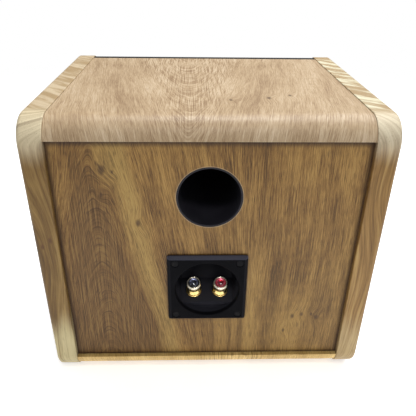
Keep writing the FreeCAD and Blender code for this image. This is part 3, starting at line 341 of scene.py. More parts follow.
@dataclass(frozen=True)
class OakVeneer(Finish):
    """Sliced oak veneer with arched figure, streaks, pores and knots."""

    run: Run = Run.UPRIGHT
    pale: Colour = tone(205, 180, 140)
    middle: Colour = tone(178, 148, 104)
    dark: Colour = tone(128, 98, 62)
    heart: Colour = tone(108, 80, 42)
    heart_at: float = 105.0
    heart_half: float = 42.0
    heart_depth: float = 0.5
    heart_contrast: float = 0.0
    heart_plain: float = 0.9
    # share of a painted pool of light, paler towards the lower end and the -X side
    painted_glow: float = 0.0
    lean: float = 0.16
    level_at: float = 200.0
    slant_from: float = -50.0
    slant_to: float = 20.0
    arch: float = 24.0
    band: Colour = tone(184, 152, 82)
    band_at: float = 0.0
    band_half: float = 13.0
    wander: float = 14.0
    streaks: float = 1.0
    rough: float = 0.42
    coat: float = 0.0
    # share of painted shade in corners and recesses
    corner_shade_share: float = 0.75
    pores: float = 0.6
    # colour of the painted shade in corners and along the panel's edges
    shade_tone: Colour = tone(44, 26, 20)
    seed: float = 3.0
    # the visible box of the panel as left, right, bottom and top, inside which painted shadow lines its edges; the
    # field after it is how deep the shadow band under the top's lip reaches
    frame: tuple[float, ...] = ()
    lip_shadow_depth: float = 8.0
    knots: tuple[Knot, ...] = ()
    rim: tuple[CutEdge, ...] = ()

    def directions(self, bench: Bench) -> tuple[Signal, Signal, Signal, Signal, Signal]:
        """The surface point, and how far across and along the grain it is.

        Args:
            bench: The bench that adds this finish's nodes.

        Returns:
            The x, y and z of the point, then the distances across and along the grain.
        """
        x, y, z = bench.spot()
        if self.run is Run.UPRIGHT:
            return x, y, z, x, z
        if self.run is Run.WRAPPED:
            return x, y, z, x, y - z
        return x, y, z, y, x

    def dress(self, bench: Bench) -> None:
        """Adds the veneer's nodes.

        Args:
            bench: The bench that adds this finish's nodes.
        """
        x, _, z, across, along = self.directions(bench)
        drift = bench.noise(bench.vector(across * 0.012, along * 0.0050, self.seed), 3.0, 0.55) - 0.5
        off = across - self.heart_at
        arch = bench.maths("SQRT", off * off + self.arch**2)
        slant = bench.ease(across, self.slant_from, self.slant_to)
        figure = arch + (along - self.level_at) * self.lean * slant + drift * self.wander
        cores: list[Signal] = []
        for knot in self.knots:
            shape = bench.vector(
                (across - knot.across) / knot.radius, (along - knot.along) / (knot.radius * 1.7), 0.0
            )
            reach = bench.add("ShaderNodeVectorMath", {"operation": "LENGTH"}, {0: shape}, "Value")
            figure = figure + bench.ease(reach, 5.0, 0.0) * knot.push
            cores.append(bench.ease(reach, 1.25, 0.35))
        cloud = bench.noise(bench.vector(figure * 0.028, along * 0.0050, self.seed + 1), 3.0, 0.6)
        broad = bench.noise(bench.vector(figure * 0.17, along * 0.0060, self.seed), 3.0, 0.7)
        fine = bench.noise(bench.vector(figure * 1.15, along * 0.026, self.seed + 4), 4.0, 0.75)
        hair = bench.noise(bench.vector(figure * 2.3, along * 0.080, self.seed + 9), 3.0, 0.8)
        mixed = cloud * 0.24 + broad * 0.14 + fine * 0.38 + hair * 0.24
        soft = bench.noise(bench.vector(across * 0.02, along * 0.006, self.seed + 2), 1.0)
        heart = bench.ease(figure + (soft - 0.5) * 24.0, self.heart_half, self.heart_half * 0.5)
        plain = bench.noise(bench.vector(across * 1.1, along * 0.022, self.seed + 12), 3.0, 0.7)
        level = (
            (mixed - 0.5) * (heart * self.heart_contrast + self.streaks)
            + (plain - 0.5) * heart * self.heart_plain + 0.5
        )
        colour = bench.ramp(level, [(0.38, self.dark), (0.50, self.middle), (0.61, self.pale)])
        colour = bench.blend(heart * self.heart_depth, colour, self.heart)
        if self.band_at:
            away = bench.maths("ABSOLUTE", figure - self.band_at + (broad - 0.5) * 16.0)
            band = bench.ease(away, self.band_half, 1.0) * bench.ease(across, self.heart_at + 4.0, self.heart_at - 8.0)
            colour = bench.blend(band * bench.ease(level, 0.30, 0.6, 0.25, 0.8), colour, self.band)
        # painted light: a paler patch towards the lower end and the -X side of the panel, in the band's colour
        if self.painted_glow:
            painted_glow = bench.ease(along, 230.0, 50.0) * bench.ease(across, 40.0, -60.0) * self.painted_glow
            colour = bench.blend(painted_glow * bench.ease(cloud, 0.35, 0.65, 0.3, 1.0), colour, self.band)
        dash = bench.noise(bench.vector(figure * 1.9, along * 0.085, self.seed + 6), 1.0)
        pore = bench.ease(dash, 0.58, 0.70)
        colour = bench.blend(pore * self.pores, colour, self.dark)
        for core in cores:
            colour = bench.blend(core * 0.72, colour, tone(66, 44, 26))
        # painted shade: the veneer is darkened in corners and recesses, where shade falls
        colour = bench.blend(bench.corner_shade_mask(14.0) * self.corner_shade_share, colour, self.shade_tone)
        # painted shadow: a dark band under the top's lip, strips beside the cheeks and a thin line above the bottom
        # ledge, where the panel's edges fall in shadow
        if self.frame:
            left, right, bottom, top = self.frame
            half = (right - left) / 2
            side = bench.ease(bench.maths("ABSOLUTE", x - (left + right) / 2), half - 5.0, half - 0.5)
            head = bench.ease(z, top - self.lip_shadow_depth, top - 0.8)
            foot = bench.ease(z, bottom + 4.0, bottom + 0.5)
            edge = bench.maths("MAXIMUM", bench.maths("MAXIMUM", side * 0.55, head * 0.8), foot * 0.5)
            colour = bench.blend(edge, colour, self.shade_tone)
        for rim in self.rim:
            shape = bench.vector(x - rim.x, 0.0, z - rim.z)
            reach = bench.add("ShaderNodeVectorMath", {"operation": "LENGTH"}, {0: shape}, "Value")
            ring = bench.ease(reach, rim.radius + rim.width, rim.radius + rim.width * 0.5)
            colour = bench.blend(ring * 0.7, colour, tone(170, 148, 116))
        bench.finish(
            Base_Color=colour,
            Roughness=bench.ease(level, 0.3, 0.7, self.rough + 0.08, self.rough - 0.06),
            Specular_IOR_Level=0.3,
            Coat_Weight=self.coat,
            Coat_Roughness=0.3,
            Normal=bench.bump((1 - pore) * 0.7 + fine * 0.3, 0.10),
        )


@dataclass(frozen=True)
class SolidWood(Finish):
    """Solid timber: growth rings round a far pith, so faces show streaks and ends show arcs."""

    pith: Flat = (60.0, 40.0)
    run: Run = Run.UPRIGHT
    ring: float = 0.30
    pale: Colour = tone(214, 192, 150)
    middle: Colour = tone(190, 158, 112)
    dark: Colour = tone(146, 112, 72)
    sapwood: Colour = tone(214, 200, 158)
    sapwood_share: float = 0.0
    # colour of the painted highlight on the rounded top rear corner
    corner_highlight: Colour = tone(236, 226, 198)
    # colours of the painted highlight on the top faces: the pale tone and its streaks
    top_highlight: Colour = tone(190, 172, 142)
    top_highlight_streak: Colour = tone(158, 134, 98)
    seed: float = 1.0
    rough: float = 0.45
    knots: tuple[Vector, ...] = ()
    knot_radius: float = 2.4

    def dress(self, bench: Bench) -> None:
        """Adds the timber's nodes.

        Args:
            bench: The bench that adds this finish's nodes.
        """
        x, y, z = bench.spot()
        u, v, w = (x, y, z) if self.run is Run.UPRIGHT else (y, z, x)
        bend = bench.noise(bench.vector(u * 0.02, v * 0.02, w * 0.006 + self.seed), 2.0) - 0.5
        sway = bench.noise(bench.vector(u * 0.012, v * 0.012, w * 0.004 + self.seed + 5), 1.0) - 0.5
        du = u - self.pith[0] + bend * 26.0
        dv = v - self.pith[1] + sway * 40.0
        reach = bench.maths("SQRT", du * du + dv * dv)
        bands = bench.noise(bench.vector(reach * self.ring, w * 0.003, self.seed), 2.0, 0.6)
        lines = bench.noise(bench.vector(reach * self.ring * 3.2, w * 0.014, self.seed + 3), 4.0, 0.7)
        level = bands * 0.45 + lines * 0.55
        colour = bench.ramp(level, [(0.36, self.dark), (0.50, self.middle), (0.63, self.pale)])
        far = bench.maths("ABSOLUTE", z - 150.0) + (150.0 - z) * 0.30 + (bands - 0.5) * 60.0 + sway * 50.0
        sap = bench.ease(far, 78.0, 140.0) * bench.ease(y + (sway + bend) * 60.0, 70.0, 136.0) * self.sapwood_share
        colour = bench.blend(sap, colour, bench.blend(bench.ease(level, 0.30, 0.55), self.pale, self.sapwood))
        # painted highlight: on the cheeks the rounded top rear corner is painted paler, as if lit from above; the flag
        # on the next line limits it and the top-face highlight to the cheeks
        paints_highlights = 1.0 if self.sapwood_share else 0.0
        corner_highlight_mask = bench.ease(y + z + (bands - 0.5) * 24.0, 392.0, 432.0) * (0.9 * paints_highlights)
        colour = bench.blend(corner_highlight_mask * bench.ease(level, 0.25, 0.6, 0.35, 0.95), colour, self.corner_highlight)
        # painted highlight: the cheeks' top faces are painted pale, in streaks, as if lit from above; the mask named
        # ridge marks those faces
        across = bench.noise(bench.vector((y + x * 0.9) * 0.085, (y - x) * 0.012, self.seed + 7), 3.0, 0.6)
        top = bench.blend(bench.ease(across, 0.40, 0.62), self.top_highlight_streak, self.top_highlight)
        ridge = bench.ease(z, 287.0, 293.0) * bench.ease(y, 128.0, 100.0) * paints_highlights
        colour = bench.blend(ridge, colour, top)
        dash = bench.noise(bench.vector(u * 1.7, v * 1.7, w * 0.07 + self.seed), 1.0)
        pore = bench.ease(dash, 0.62, 0.74)
        colour = bench.blend(pore * 0.38, colour, self.dark)
        for knot in self.knots:
            shape = bench.vector(x - knot.x, y - knot.y, (z - knot.z) * 0.5)
            away = bench.add("ShaderNodeVectorMath", {"operation": "LENGTH"}, {0: shape}, "Value")
            colour = bench.blend(bench.ease(away, self.knot_radius, 0.6) * 0.7, colour, tone(84, 50, 30))
        # painted shade: darker in corners and recesses, where shade falls
        colour = bench.blend(bench.corner_shade_mask(8.0) * 0.6, colour, tone(58, 38, 26))
        bench.finish(
            Base_Color=colour,
            Specular_IOR_Level=0.3,
            Roughness=bench.ease(level, 0.3, 0.7, self.rough + 0.07, self.rough - 0.05),
            Normal=bench.bump((1 - pore) * 0.6 + lines * 0.4, 0.10),
        )


@dataclass(frozen=True)
class Moulded(Finish):
    """Moulded plastic or rubber with a fine spark-eroded grain."""

    colour: Colour = tone(26, 26, 29)
    worn: Colour = tone(40, 40, 44)
    rough: float = 0.42
    grain: float = 1.6
    depth: float = 0.035
    shine: float = 0.5
    # colour of a painted highlight on the plate's bevel; the field after it is where the bevel starts, and 0 paints
    # none
    edge: Colour = tone(66, 66, 76)
    edge_at: float = 0.0
    # colour of painted light on the lower part of the recess and its platform
    platform_light: Colour = tone(44, 44, 50)

    def dress(self, bench: Bench) -> None:
        """Adds the plastic's nodes.

        Args:
            bench: The bench that adds this finish's nodes.
        """
        x, y, z = bench.spot()
        point = bench.vector(x, y, z)
        grain = bench.noise(point, 2.0, 0.6, self.grain)
        cloud = bench.noise(point, 2.0, 0.5, 0.05)
        colour = bench.blend(bench.ease(cloud, 0.35, 0.7), self.colour, self.worn)
        if self.edge_at:
            # painted highlight: the plate's bevel is painted lighter, fully on its upper side and faintly on the
            # others, patchy with the grain; the mask named worn is this highlight, not wear
            reach = bench.maths("MAXIMUM", bench.maths("ABSOLUTE", x), bench.maths("ABSOLUTE", y))
            above = bench.ease(y, self.edge_at - 1.0, self.edge_at, 0.12, 1.0)
            patchy = bench.ease(grain, 0.2, 0.6, 0.7, 1.0)
            worn = bench.ease(reach, self.edge_at - 0.6, self.edge_at + 0.2) * above * patchy
            colour = bench.blend(worn, colour, self.edge)
            # painted light: the lower part of the recess, with the sloping platform, is painted lighter, as if lit
            # from above
            platform_light = bench.maths("MULTIPLY", bench.ease(z, -3.0, -5.0), bench.ease(y, 20.0, -10.0))
            colour = bench.blend(platform_light * 0.8, colour, self.platform_light)
        bench.finish(
            Base_Color=colour,
            Roughness=bench.ease(grain * 0.5 + cloud * 0.5, 0.35, 0.65, self.rough - 0.05, self.rough + 0.07),
            Specular_IOR_Level=self.shine,
            Normal=bench.bump(grain, self.depth),
        )


@dataclass(frozen=True)
class Painted(Finish):
    """Sprayed or powder paint with orange peel."""

    colour: Colour = tone(24, 24, 26)
    thin: Colour = tone(38, 37, 37)
    rough: float = 0.4
    peel: float = 0.55
    depth: float = 0.05
    shine: float = 0.2

    def dress(self, bench: Bench) -> None:
        """Adds the paint's nodes.

        Args:
            bench: The bench that adds this finish's nodes.
        """
        x, y, z = bench.spot()
        point = bench.vector(x, y, z)
        peel = bench.noise(point, 1.0, 0.5, self.peel)
        dust = bench.noise(point, 3.0, 0.65, 0.11)
        bench.finish(
            Base_Color=bench.blend(bench.ease(dust, 0.42, 0.72), self.colour, self.thin),
            Specular_IOR_Level=self.shine,
            Roughness=bench.ease(dust, 0.3, 0.7, self.rough - 0.05, self.rough + 0.08),
            Normal=bench.bump(peel, self.depth),
        )


@dataclass(frozen=True)
class Metal(Finish):
    """Turned or plated metal, with tool marks round its own axis and a little tarnish."""

    colour: Colour = (0.96, 0.70, 0.28, 1.0)
    tarnish: Colour = (0.62, 0.38, 0.12, 1.0)
    rough: float = 0.2
    marks: float = 3.0
    depth: float = 0.012
    # colour of a painted reflection laid on the part above the height in the next field; 0 there paints none
    pale: Colour = (1.0, 0.93, 0.78, 1.0)
    painted_sheen_from: float = 0.0

    def dress(self, bench: Bench) -> None:
        """Adds the metal's nodes.

        Args:
            bench: The bench that adds this finish's nodes.
        """
        x, y, z = bench.spot()
        radius = bench.maths("SQRT", x * x + y * y)
        turned = bench.noise(bench.vector(radius * self.marks, 0.0, z * self.marks), 2.0, 0.6)
        film = bench.noise(bench.vector(x, y, z), 3.0, 0.6, 0.22)
        colour = bench.blend(bench.ease(film, 0.46, 0.78), self.colour, self.tarnish)
        # painted reflection: above this height the cap's head is painted pale cream, for the white light its ring
        # reflects
        if self.painted_sheen_from:
            colour = bench.blend(bench.ease(z, self.painted_sheen_from, self.painted_sheen_from + 2.0) * 0.85, colour, self.pale)
        bench.finish(
            Base_Color=colour,
            Metallic=1.0,
            Roughness=bench.ease(turned * 0.5 + film * 0.5, 0.3, 0.7, self.rough - 0.05, self.rough + 0.10),
            Normal=bench.bump(turned, self.depth),
        )


@dataclass(frozen=True)
class Jewel(Finish):
    """A clear moulded dome over a dished foil whose facets are painted lighter and darker, as painted reflection."""

    deep: Colour = tone(10, 10, 16)
    # colour of the lighter facets, a painted reflection
    facet_highlight: Colour = tone(150, 155, 192)
    rim: Colour = tone(8, 8, 10)
    radius: float = 5.5
    facets: int = 6
    dish: float = 0.13

    def dress(self, bench: Bench) -> None:
        """Adds the insert's nodes.

        Args:
            bench: The bench that adds this finish's nodes.
        """
        x, y, z = bench.spot()
        reach = bench.maths("SQRT", x * x + y * y)
        # painted reflection: each facet is painted lighter or darker at random and lighter towards its edges, for the
        # light the facets reflect; the value named shade is this facet brightness
        turn = bench.maths("ARCTAN2", y, x) * (self.facets / (2 * math.pi)) + 0.25
        step = bench.maths("FLOOR", turn)
        inside = bench.maths("LESS_THAN", reach, self.radius * 0.45)
        shade = bench.noise(bench.vector(step * 3.7, inside * 5.1, 2.0), 0.0)
        ridge = bench.maths("ABSOLUTE", bench.maths("FRACT", turn) - 0.5)
        level = bench.ease(shade, 0.38, 0.62) * 0.75 + ridge * 0.5
        colour = bench.blend(bench.ease(level, 0.15, 0.95), self.deep, self.facet_highlight)
        colour = bench.blend(bench.ease(reach, self.radius * 0.74, self.radius * 0.84), colour, self.rim)
        bench.finish(
            Base_Color=colour,
            Metallic=bench.ease(reach, self.radius * 0.8, self.radius * 0.5, 0.0, 0.85),
            Roughness=bench.ease(reach, 0.0, self.radius, 0.26, 0.34),
            Coat_Weight=1.0,
            Coat_Roughness=0.02,
            Coat_IOR=1.6,
            Normal=bench.bump(reach * reach * self.dish, 1.0),
        )


@dataclass(frozen=True)
class Weave(Finish):
    """Plain woven cloth: threads over and under in two directions."""

    colour: Colour = tone(20, 20, 22)
    light: Colour = tone(52, 52, 54)
    pitch: float = 0.9
    rough: float = 0.85
    depth: float = 0.12
    sheen: float = 0.15
    up_is_y: bool = False

    def dress(self, bench: Bench) -> None:
        """Adds the cloth's nodes.

        Args:
            bench: The bench that adds this finish's nodes.
        """
        x, y, z = bench.spot()
        up = y if self.up_is_y else z
        across = x if self.up_is_y else x + y
        turn = 2 * math.pi / self.pitch
        warp = bench.maths("SINE", across * turn)
        weft = bench.maths("SINE", up * turn)
        over = bench.maths("SINE", across * (turn / 2)) * bench.maths("SINE", up * (turn / 2))
        thread = bench.ease(over, -0.2, 0.2) * warp + bench.ease(over, 0.2, -0.2) * weft
        slub = bench.noise(bench.vector(x, y, z), 3.0, 0.6, 0.35)
        level = thread * 0.25 + 0.5 + (slub - 0.5) * 0.7
        bench.finish(
            Base_Color=bench.blend(bench.ease(level, 0.1, 0.95), self.colour, self.light),
            Roughness=bench.ease(slub, 0.3, 0.7, self.rough - 0.06, self.rough + 0.06),
            Sheen_Weight=self.sheen,
            Normal=bench.bump(level, self.depth),
        )


@dataclass(frozen=True)
class Fibres(Finish):
    """Pressed pulp, felt or wadding: short fibres in a mat."""

    colour: Colour = tone(30, 29, 29)
    light: Colour = tone(66, 63, 60)
    scale: float = 0.5
    rough: float = 0.8
    depth: float = 0.15
    sheen: float = 0.1

    def dress(self, bench: Bench) -> None:
        """Adds the mat's nodes.

        Args:
            bench: The bench that adds this finish's nodes.
        """
        x, y, z = bench.spot()
        bend = bench.noise(bench.vector(x, y, z), 2.0, 0.5, self.scale * 0.3) * 9.0
        long_way = bench.noise(bench.vector(x * 2.2 + bend, y * 0.5, z * 0.5), 3.0, 0.65, self.scale)
        short_way = bench.noise(bench.vector(x * 0.5, y * 0.5 + bend, z * 2.2), 3.0, 0.65, self.scale)
        mat = bench.maths("MAXIMUM", long_way, short_way)
        bench.finish(
            Base_Color=bench.blend(bench.ease(mat, 0.45, 0.8), self.colour, self.light),
            Roughness=bench.ease(mat, 0.4, 0.8, self.rough - 0.05, self.rough + 0.08),
            Sheen_Weight=self.sheen,
            Normal=bench.bump(mat, self.depth),
        )


@dataclass(frozen=True)
class Board(Finish):
    """A printed laminate board: tracks under lacquer on a fibre core."""

    lacquer: Colour = tone(22, 62, 38)
    track: Colour = tone(44, 96, 56)
    pitch: float = 9.0

    def dress(self, bench: Bench) -> None:
        """Adds the board's nodes.

        Args:
            bench: The bench that adds this finish's nodes.
        """
        x, y, z = bench.spot()
        cell = bench.add(
            "ShaderNodeTexVoronoi",
            {"feature": "DISTANCE_TO_EDGE", "distance": "EUCLIDEAN"},
            {"Vector": bench.vector(x / self.pitch, y / (self.pitch * 2), z * 0.0), "Scale": 1.0},
        )
        gap = bench.ease(cell, 0.05, 0.09)
        fibre = bench.noise(bench.vector(x, y * 0.3, z), 3.0, 0.6, 0.9)
        colour = bench.blend(gap, self.lacquer, self.track)
        bench.finish(
            Base_Color=bench.blend(bench.ease(fibre, 0.4, 0.8) * 0.3, colour, tone(120, 140, 96)),
            Roughness=bench.ease(fibre, 0.3, 0.7, 0.3, 0.42),
            Normal=bench.bump(gap, 0.05),
        )


@dataclass(frozen=True)
class StudioFloor(Finish):
    """Pale matt paper under the part."""

    colour: Colour = tone(246, 246, 247)
    shade: Colour = tone(240, 240, 242)
    lift: float = 0.62
    fade_start: float = 600.0
    fade_end: float = 1500.0

    def dress(self, bench: Bench) -> None:
        """Adds the paper's nodes.

        Args:
            bench: The bench that adds this finish's nodes.
        """
        x, y, z = bench.spot()
        tooth = bench.noise(bench.vector(x, y, z), 3.0, 0.6, 0.02)
        reach = bench.maths("SQRT", x * x + y * y)
        bench.finish(
            Base_Color=bench.blend(tooth, self.colour, self.shade),
            Roughness=bench.ease(tooth, 0.3, 0.7, 0.85, 0.95),
            Specular_IOR_Level=0.0,
            Emission_Color=bench.blend(tooth, self.colour, self.shade),
            Emission_Strength=self.lift,
            Alpha=bench.ease(reach, self.fade_start, self.fade_end, 1.0, 0.0),
        )


CHEEK_LEFT = SolidWood(
    "cheek oak left", pith=(210.0, -60.0), sapwood_share=0.72, seed=2.0,
    pale=tone(146, 118, 66), middle=tone(114, 86, 42), dark=tone(74, 52, 26),
    sapwood=tone(214, 202, 156), corner_highlight=tone(224, 211, 180), top_highlight=tone(190, 172, 142),
    knots=(Vector((150, 141, 178)), Vector((158, 141, 171))),
)
CHEEK_RIGHT = SolidWood(
    "cheek oak right", pith=(-220.0, 30.0), sapwood_share=0.45, seed=8.0,
    pale=tone(170, 138, 82), middle=tone(142, 108, 58), dark=tone(98, 70, 36),
    sapwood=tone(204, 186, 142), corner_highlight=tone(222, 214, 190), top_highlight=tone(206, 200, 172),
)
TOP_OAK = OakVeneer(
    "top veneer", run=Run.WRAPPED, pale=tone(196, 176, 148), middle=tone(172, 148, 116), dark=tone(128, 102, 74),
    heart_at=20.0, heart_depth=0.0, arch=30.0, lean=0.14, level_at=-150.0, slant_from=-160.0, slant_to=-120.0,
    streaks=1.3, corner_shade_share=0.5, pores=0.45,
    knots=(Knot(-20.2, -215.8, 2.0, 4.0), Knot(-57.3, -223.3, 2.6, 5.0), Knot(-79.3, -232.5, 2.0, 4.0)),
)
REAR_OAK = OakVeneer(
    "rear veneer", pale=tone(164, 129, 70), middle=tone(128, 94, 46), dark=tone(68, 45, 20), streaks=1.6, seed=5.0,
    heart=tone(78, 53, 25), heart_contrast=-0.95, band=tone(172, 142, 80), band_at=42.0, painted_glow=0.35,
    knots=(
        Knot(96.8, 248.0, 3.2, 3.0), Knot(99.2, 223.2, 1.8, 2.0), Knot(67.5, 193.6, 2.6, 4.0),
        Knot(87.4, 246.1, 1.2, 1.0), Knot(-89.4, 77.7, 2.2, 4.0), Knot(-115.4, 76.0, 2.2, 4.0),
        Knot(-81.5, 57.9, 1.8, 3.0), Knot(-99.0, 80.4, 2.0, 3.0), Knot(-109.5, 80.3, 1.6, 3.0),
    ),
)
BOTTOM_OAK = OakVeneer(
    "bottom veneer", run=Run.WRAPPED, pale=tone(236, 208, 140), middle=tone(206, 172, 104), dark=tone(140, 106, 54),
    corner_shade_share=0.3,
    heart_at=-40.0, heart_depth=0.0, seed=11.0,
)
PINE = SolidWood(
    "planed pine", pith=(-90.0, 20.0), ring=0.16, pale=tone(226, 200, 150), middle=tone(212, 180, 126),
    dark=tone(186, 142, 86), seed=4.0,
)
PINE_SIDEWAYS = SolidWood(
    "planed pine brace", run=Run.SIDEWAYS, pith=(20.0, 260.0), ring=0.16, pale=tone(226, 200, 150),
    middle=tone(212, 180, 126), dark=tone(186, 142, 86), seed=6.0,
)
BEECH = SolidWood(
    "fluted beech", run=Run.SIDEWAYS, pith=(0.0, 0.0), ring=0.6, pale=tone(224, 190, 150), middle=tone(206, 168, 126),
    dark=tone(180, 138, 96), seed=9.0,
)
BLACK_BOARD = Painted("black sprayed board", colour=tone(20, 20, 21), thin=tone(32, 31, 31), rough=0.5)
RUBBER = Moulded(
    "foot rubber", colour=tone(24, 24, 24), worn=tone(38, 37, 36), rough=0.72, grain=1.1, depth=0.06, shine=0.3,
)
GASKET_FOAM = Moulded(
    "gasket foam", colour=tone(22, 22, 22), worn=tone(34, 34, 34), rough=0.9, grain=2.4, depth=0.2, shine=0.2,
)
# its bevel highlight and its lighter recess floor are painted light
CUP_PLASTIC = Moulded(
    "cup plastic", colour=tone(12, 12, 15), worn=tone(16, 16, 19), rough=0.42, shine=0.03, edge_at=37.0,
)
PORT_PLASTIC = Moulded("port plastic", colour=tone(30, 29, 36), worn=tone(36, 35, 42), rough=0.6, shine=0.3)
PEG_PLASTIC = Moulded("peg plastic", colour=tone(30, 30, 32), rough=0.45)
SURROUND_RUBBER = Moulded(
    "surround rubber", colour=tone(20, 20, 21), worn=tone(30, 30, 30), rough=0.6, grain=0.9, depth=0.04,
)
BLACK_SCREW = Metal("black oxide", colour=(0.010, 0.010, 0.011, 1.0), tarnish=(0.02, 0.019, 0.018, 1.0), rough=0.42)
ZINC_SCREW = Metal("zinc plate", colour=(0.62, 0.63, 0.62, 1.0), tarnish=(0.46, 0.45, 0.38, 1.0), rough=0.3)
GILT = Metal("gold plate", colour=(0.94, 0.72, 0.29, 1.0), tarnish=(0.72, 0.46, 0.13, 1.0), rough=0.2)
# its pale head is a painted reflection
GILT_CAP = Metal(
    "gold cap plate", colour=(0.94, 0.72, 0.29, 1.0), tarnish=(0.72, 0.46, 0.13, 1.0), rough=0.24, painted_sheen_from=16.5,
)
BLACK_JEWEL = Jewel("black insert")
RED_JEWEL = Jewel("red insert", deep=tone(190, 14, 34), facet_highlight=tone(255, 120, 146), rim=tone(160, 26, 40))
BASKET_PAINT = Painted(
    "basket powder coat", colour=tone(22, 22, 24), thin=tone(34, 34, 35), rough=0.45, peel=0.9, depth=0.08,
)
PULP = Fibres("cone pulp", rough=0.75)
SPIDER_CLOTH = Weave("spider cloth", colour=tone(150, 104, 44), light=tone(202, 158, 88), pitch=1.1, up_is_y=True)
FORMER = Metal("former foil", colour=(0.72, 0.73, 0.75, 1.0), tarnish=(0.60, 0.60, 0.62, 1.0), rough=0.3)
COPPER = Metal(
    "enamelled copper", colour=(0.82, 0.34, 0.14, 1.0), tarnish=(0.55, 0.18, 0.07, 1.0), rough=0.25, marks=1.0,
)
STEEL = Metal("motor steel", colour=(0.44, 0.44, 0.45, 1.0), tarnish=(0.30, 0.29, 0.27, 1.0), rough=0.36)
FERRITE = Moulded("ferrite", colour=tone(44, 44, 46), worn=tone(62, 62, 64), rough=0.65, grain=0.8, depth=0.1)
LAMINATE = Board("board laminate")
NYLON = Moulded("white nylon", colour=tone(222, 220, 210), worn=tone(232, 230, 222), rough=0.5)
FILM = Moulded("film wrap", colour=tone(196, 142, 40), worn=tone(214, 164, 62), rough=0.22, grain=0.3, depth=0.02)
BLACK_LEAD = Moulded("black lead", colour=tone(20, 20, 21), worn=tone(30, 30, 31), rough=0.48, grain=0.7, depth=0.02)
RED_LEAD = Moulded("red lead", colour=tone(164, 22, 24), worn=tone(186, 40, 38), rough=0.48, grain=0.7, depth=0.02)
WADDING = Fibres(
    "white wadding", colour=tone(204, 202, 196), light=tone(238, 237, 232),
    scale=0.35, rough=0.92, depth=0.6, sheen=0.4,
)
SPEAKER_CLOTH = Weave("speaker cloth", colour=tone(15, 15, 16), light=tone(40, 40, 42), pitch=1.2, sheen=0.06)


# ---------------------------------------------------------------- shapes


def joint(name: str) -> Mapping[str, object]:
    """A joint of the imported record."""
    return next(found for found in frame["joints"] if found["name"] == name)


def box(node: str) -> tuple[Vector, Vector]:
    """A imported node's lowest and highest corner in millimetres."""
    low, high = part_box(node)
    return low / MM, high / MM


def middle(node: str) -> Vector:
    """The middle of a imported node's box in millimetres."""
    low, high = box(node)
    return (low + high) / 2


def stand(origin: Iterable[float], axis: Iterable[float]) -> Matrix:
    """A place in metres whose Z points along an axis and whose X stays level.

    Args:
        origin: The place in millimetres.
        axis: Where Z points.

    Returns:
        The matrix of the place.
    """
    up = Vector(axis).normalized()
    side = Vector((-1, 0, 0)) if abs(up.x) < 0.9 else Vector((0, 1, 0))
    other = up.cross(side).normalized()
    turn = Matrix((side, other, up)).transposed().to_4x4()
    return Matrix.Translation(Vector(origin) * MM) @ turn


def soften(corners: Sequence[Flat], radius: float, closed: bool = True, steps: int = 4) -> list[Flat]:
    """Rounds the corners of an outline.

    Args:
        corners: The sharp outline.
        radius: How much is taken from each side of a corner, at most 0.45 of the side.
        closed: Whether the last corner joins the first.
        steps: Straight pieces per rounded corner.

    Returns:
        The rounded outline.
    """
    points = [Vector((a, b)) for a, b in corners]
    count = len(points)
    result: list[Flat] = []
    for i, corner in enumerate(points):
        if not closed and i in (0, count - 1):
            result.append(tuple(corner))
            continue
        before = points[i - 1] - corner
        after = points[(i + 1) % count] - corner
        cut = min(radius, 0.45 * before.length, 0.45 * after.length)
        first = corner + before.normalized() * cut
        last = corner + after.normalized() * cut
        for k in range(steps + 1):
            t = k / steps
            point = first * (1 - t) ** 2 + corner * 2 * t * (1 - t) + last * t**2
            result.append(tuple(point))
    return result


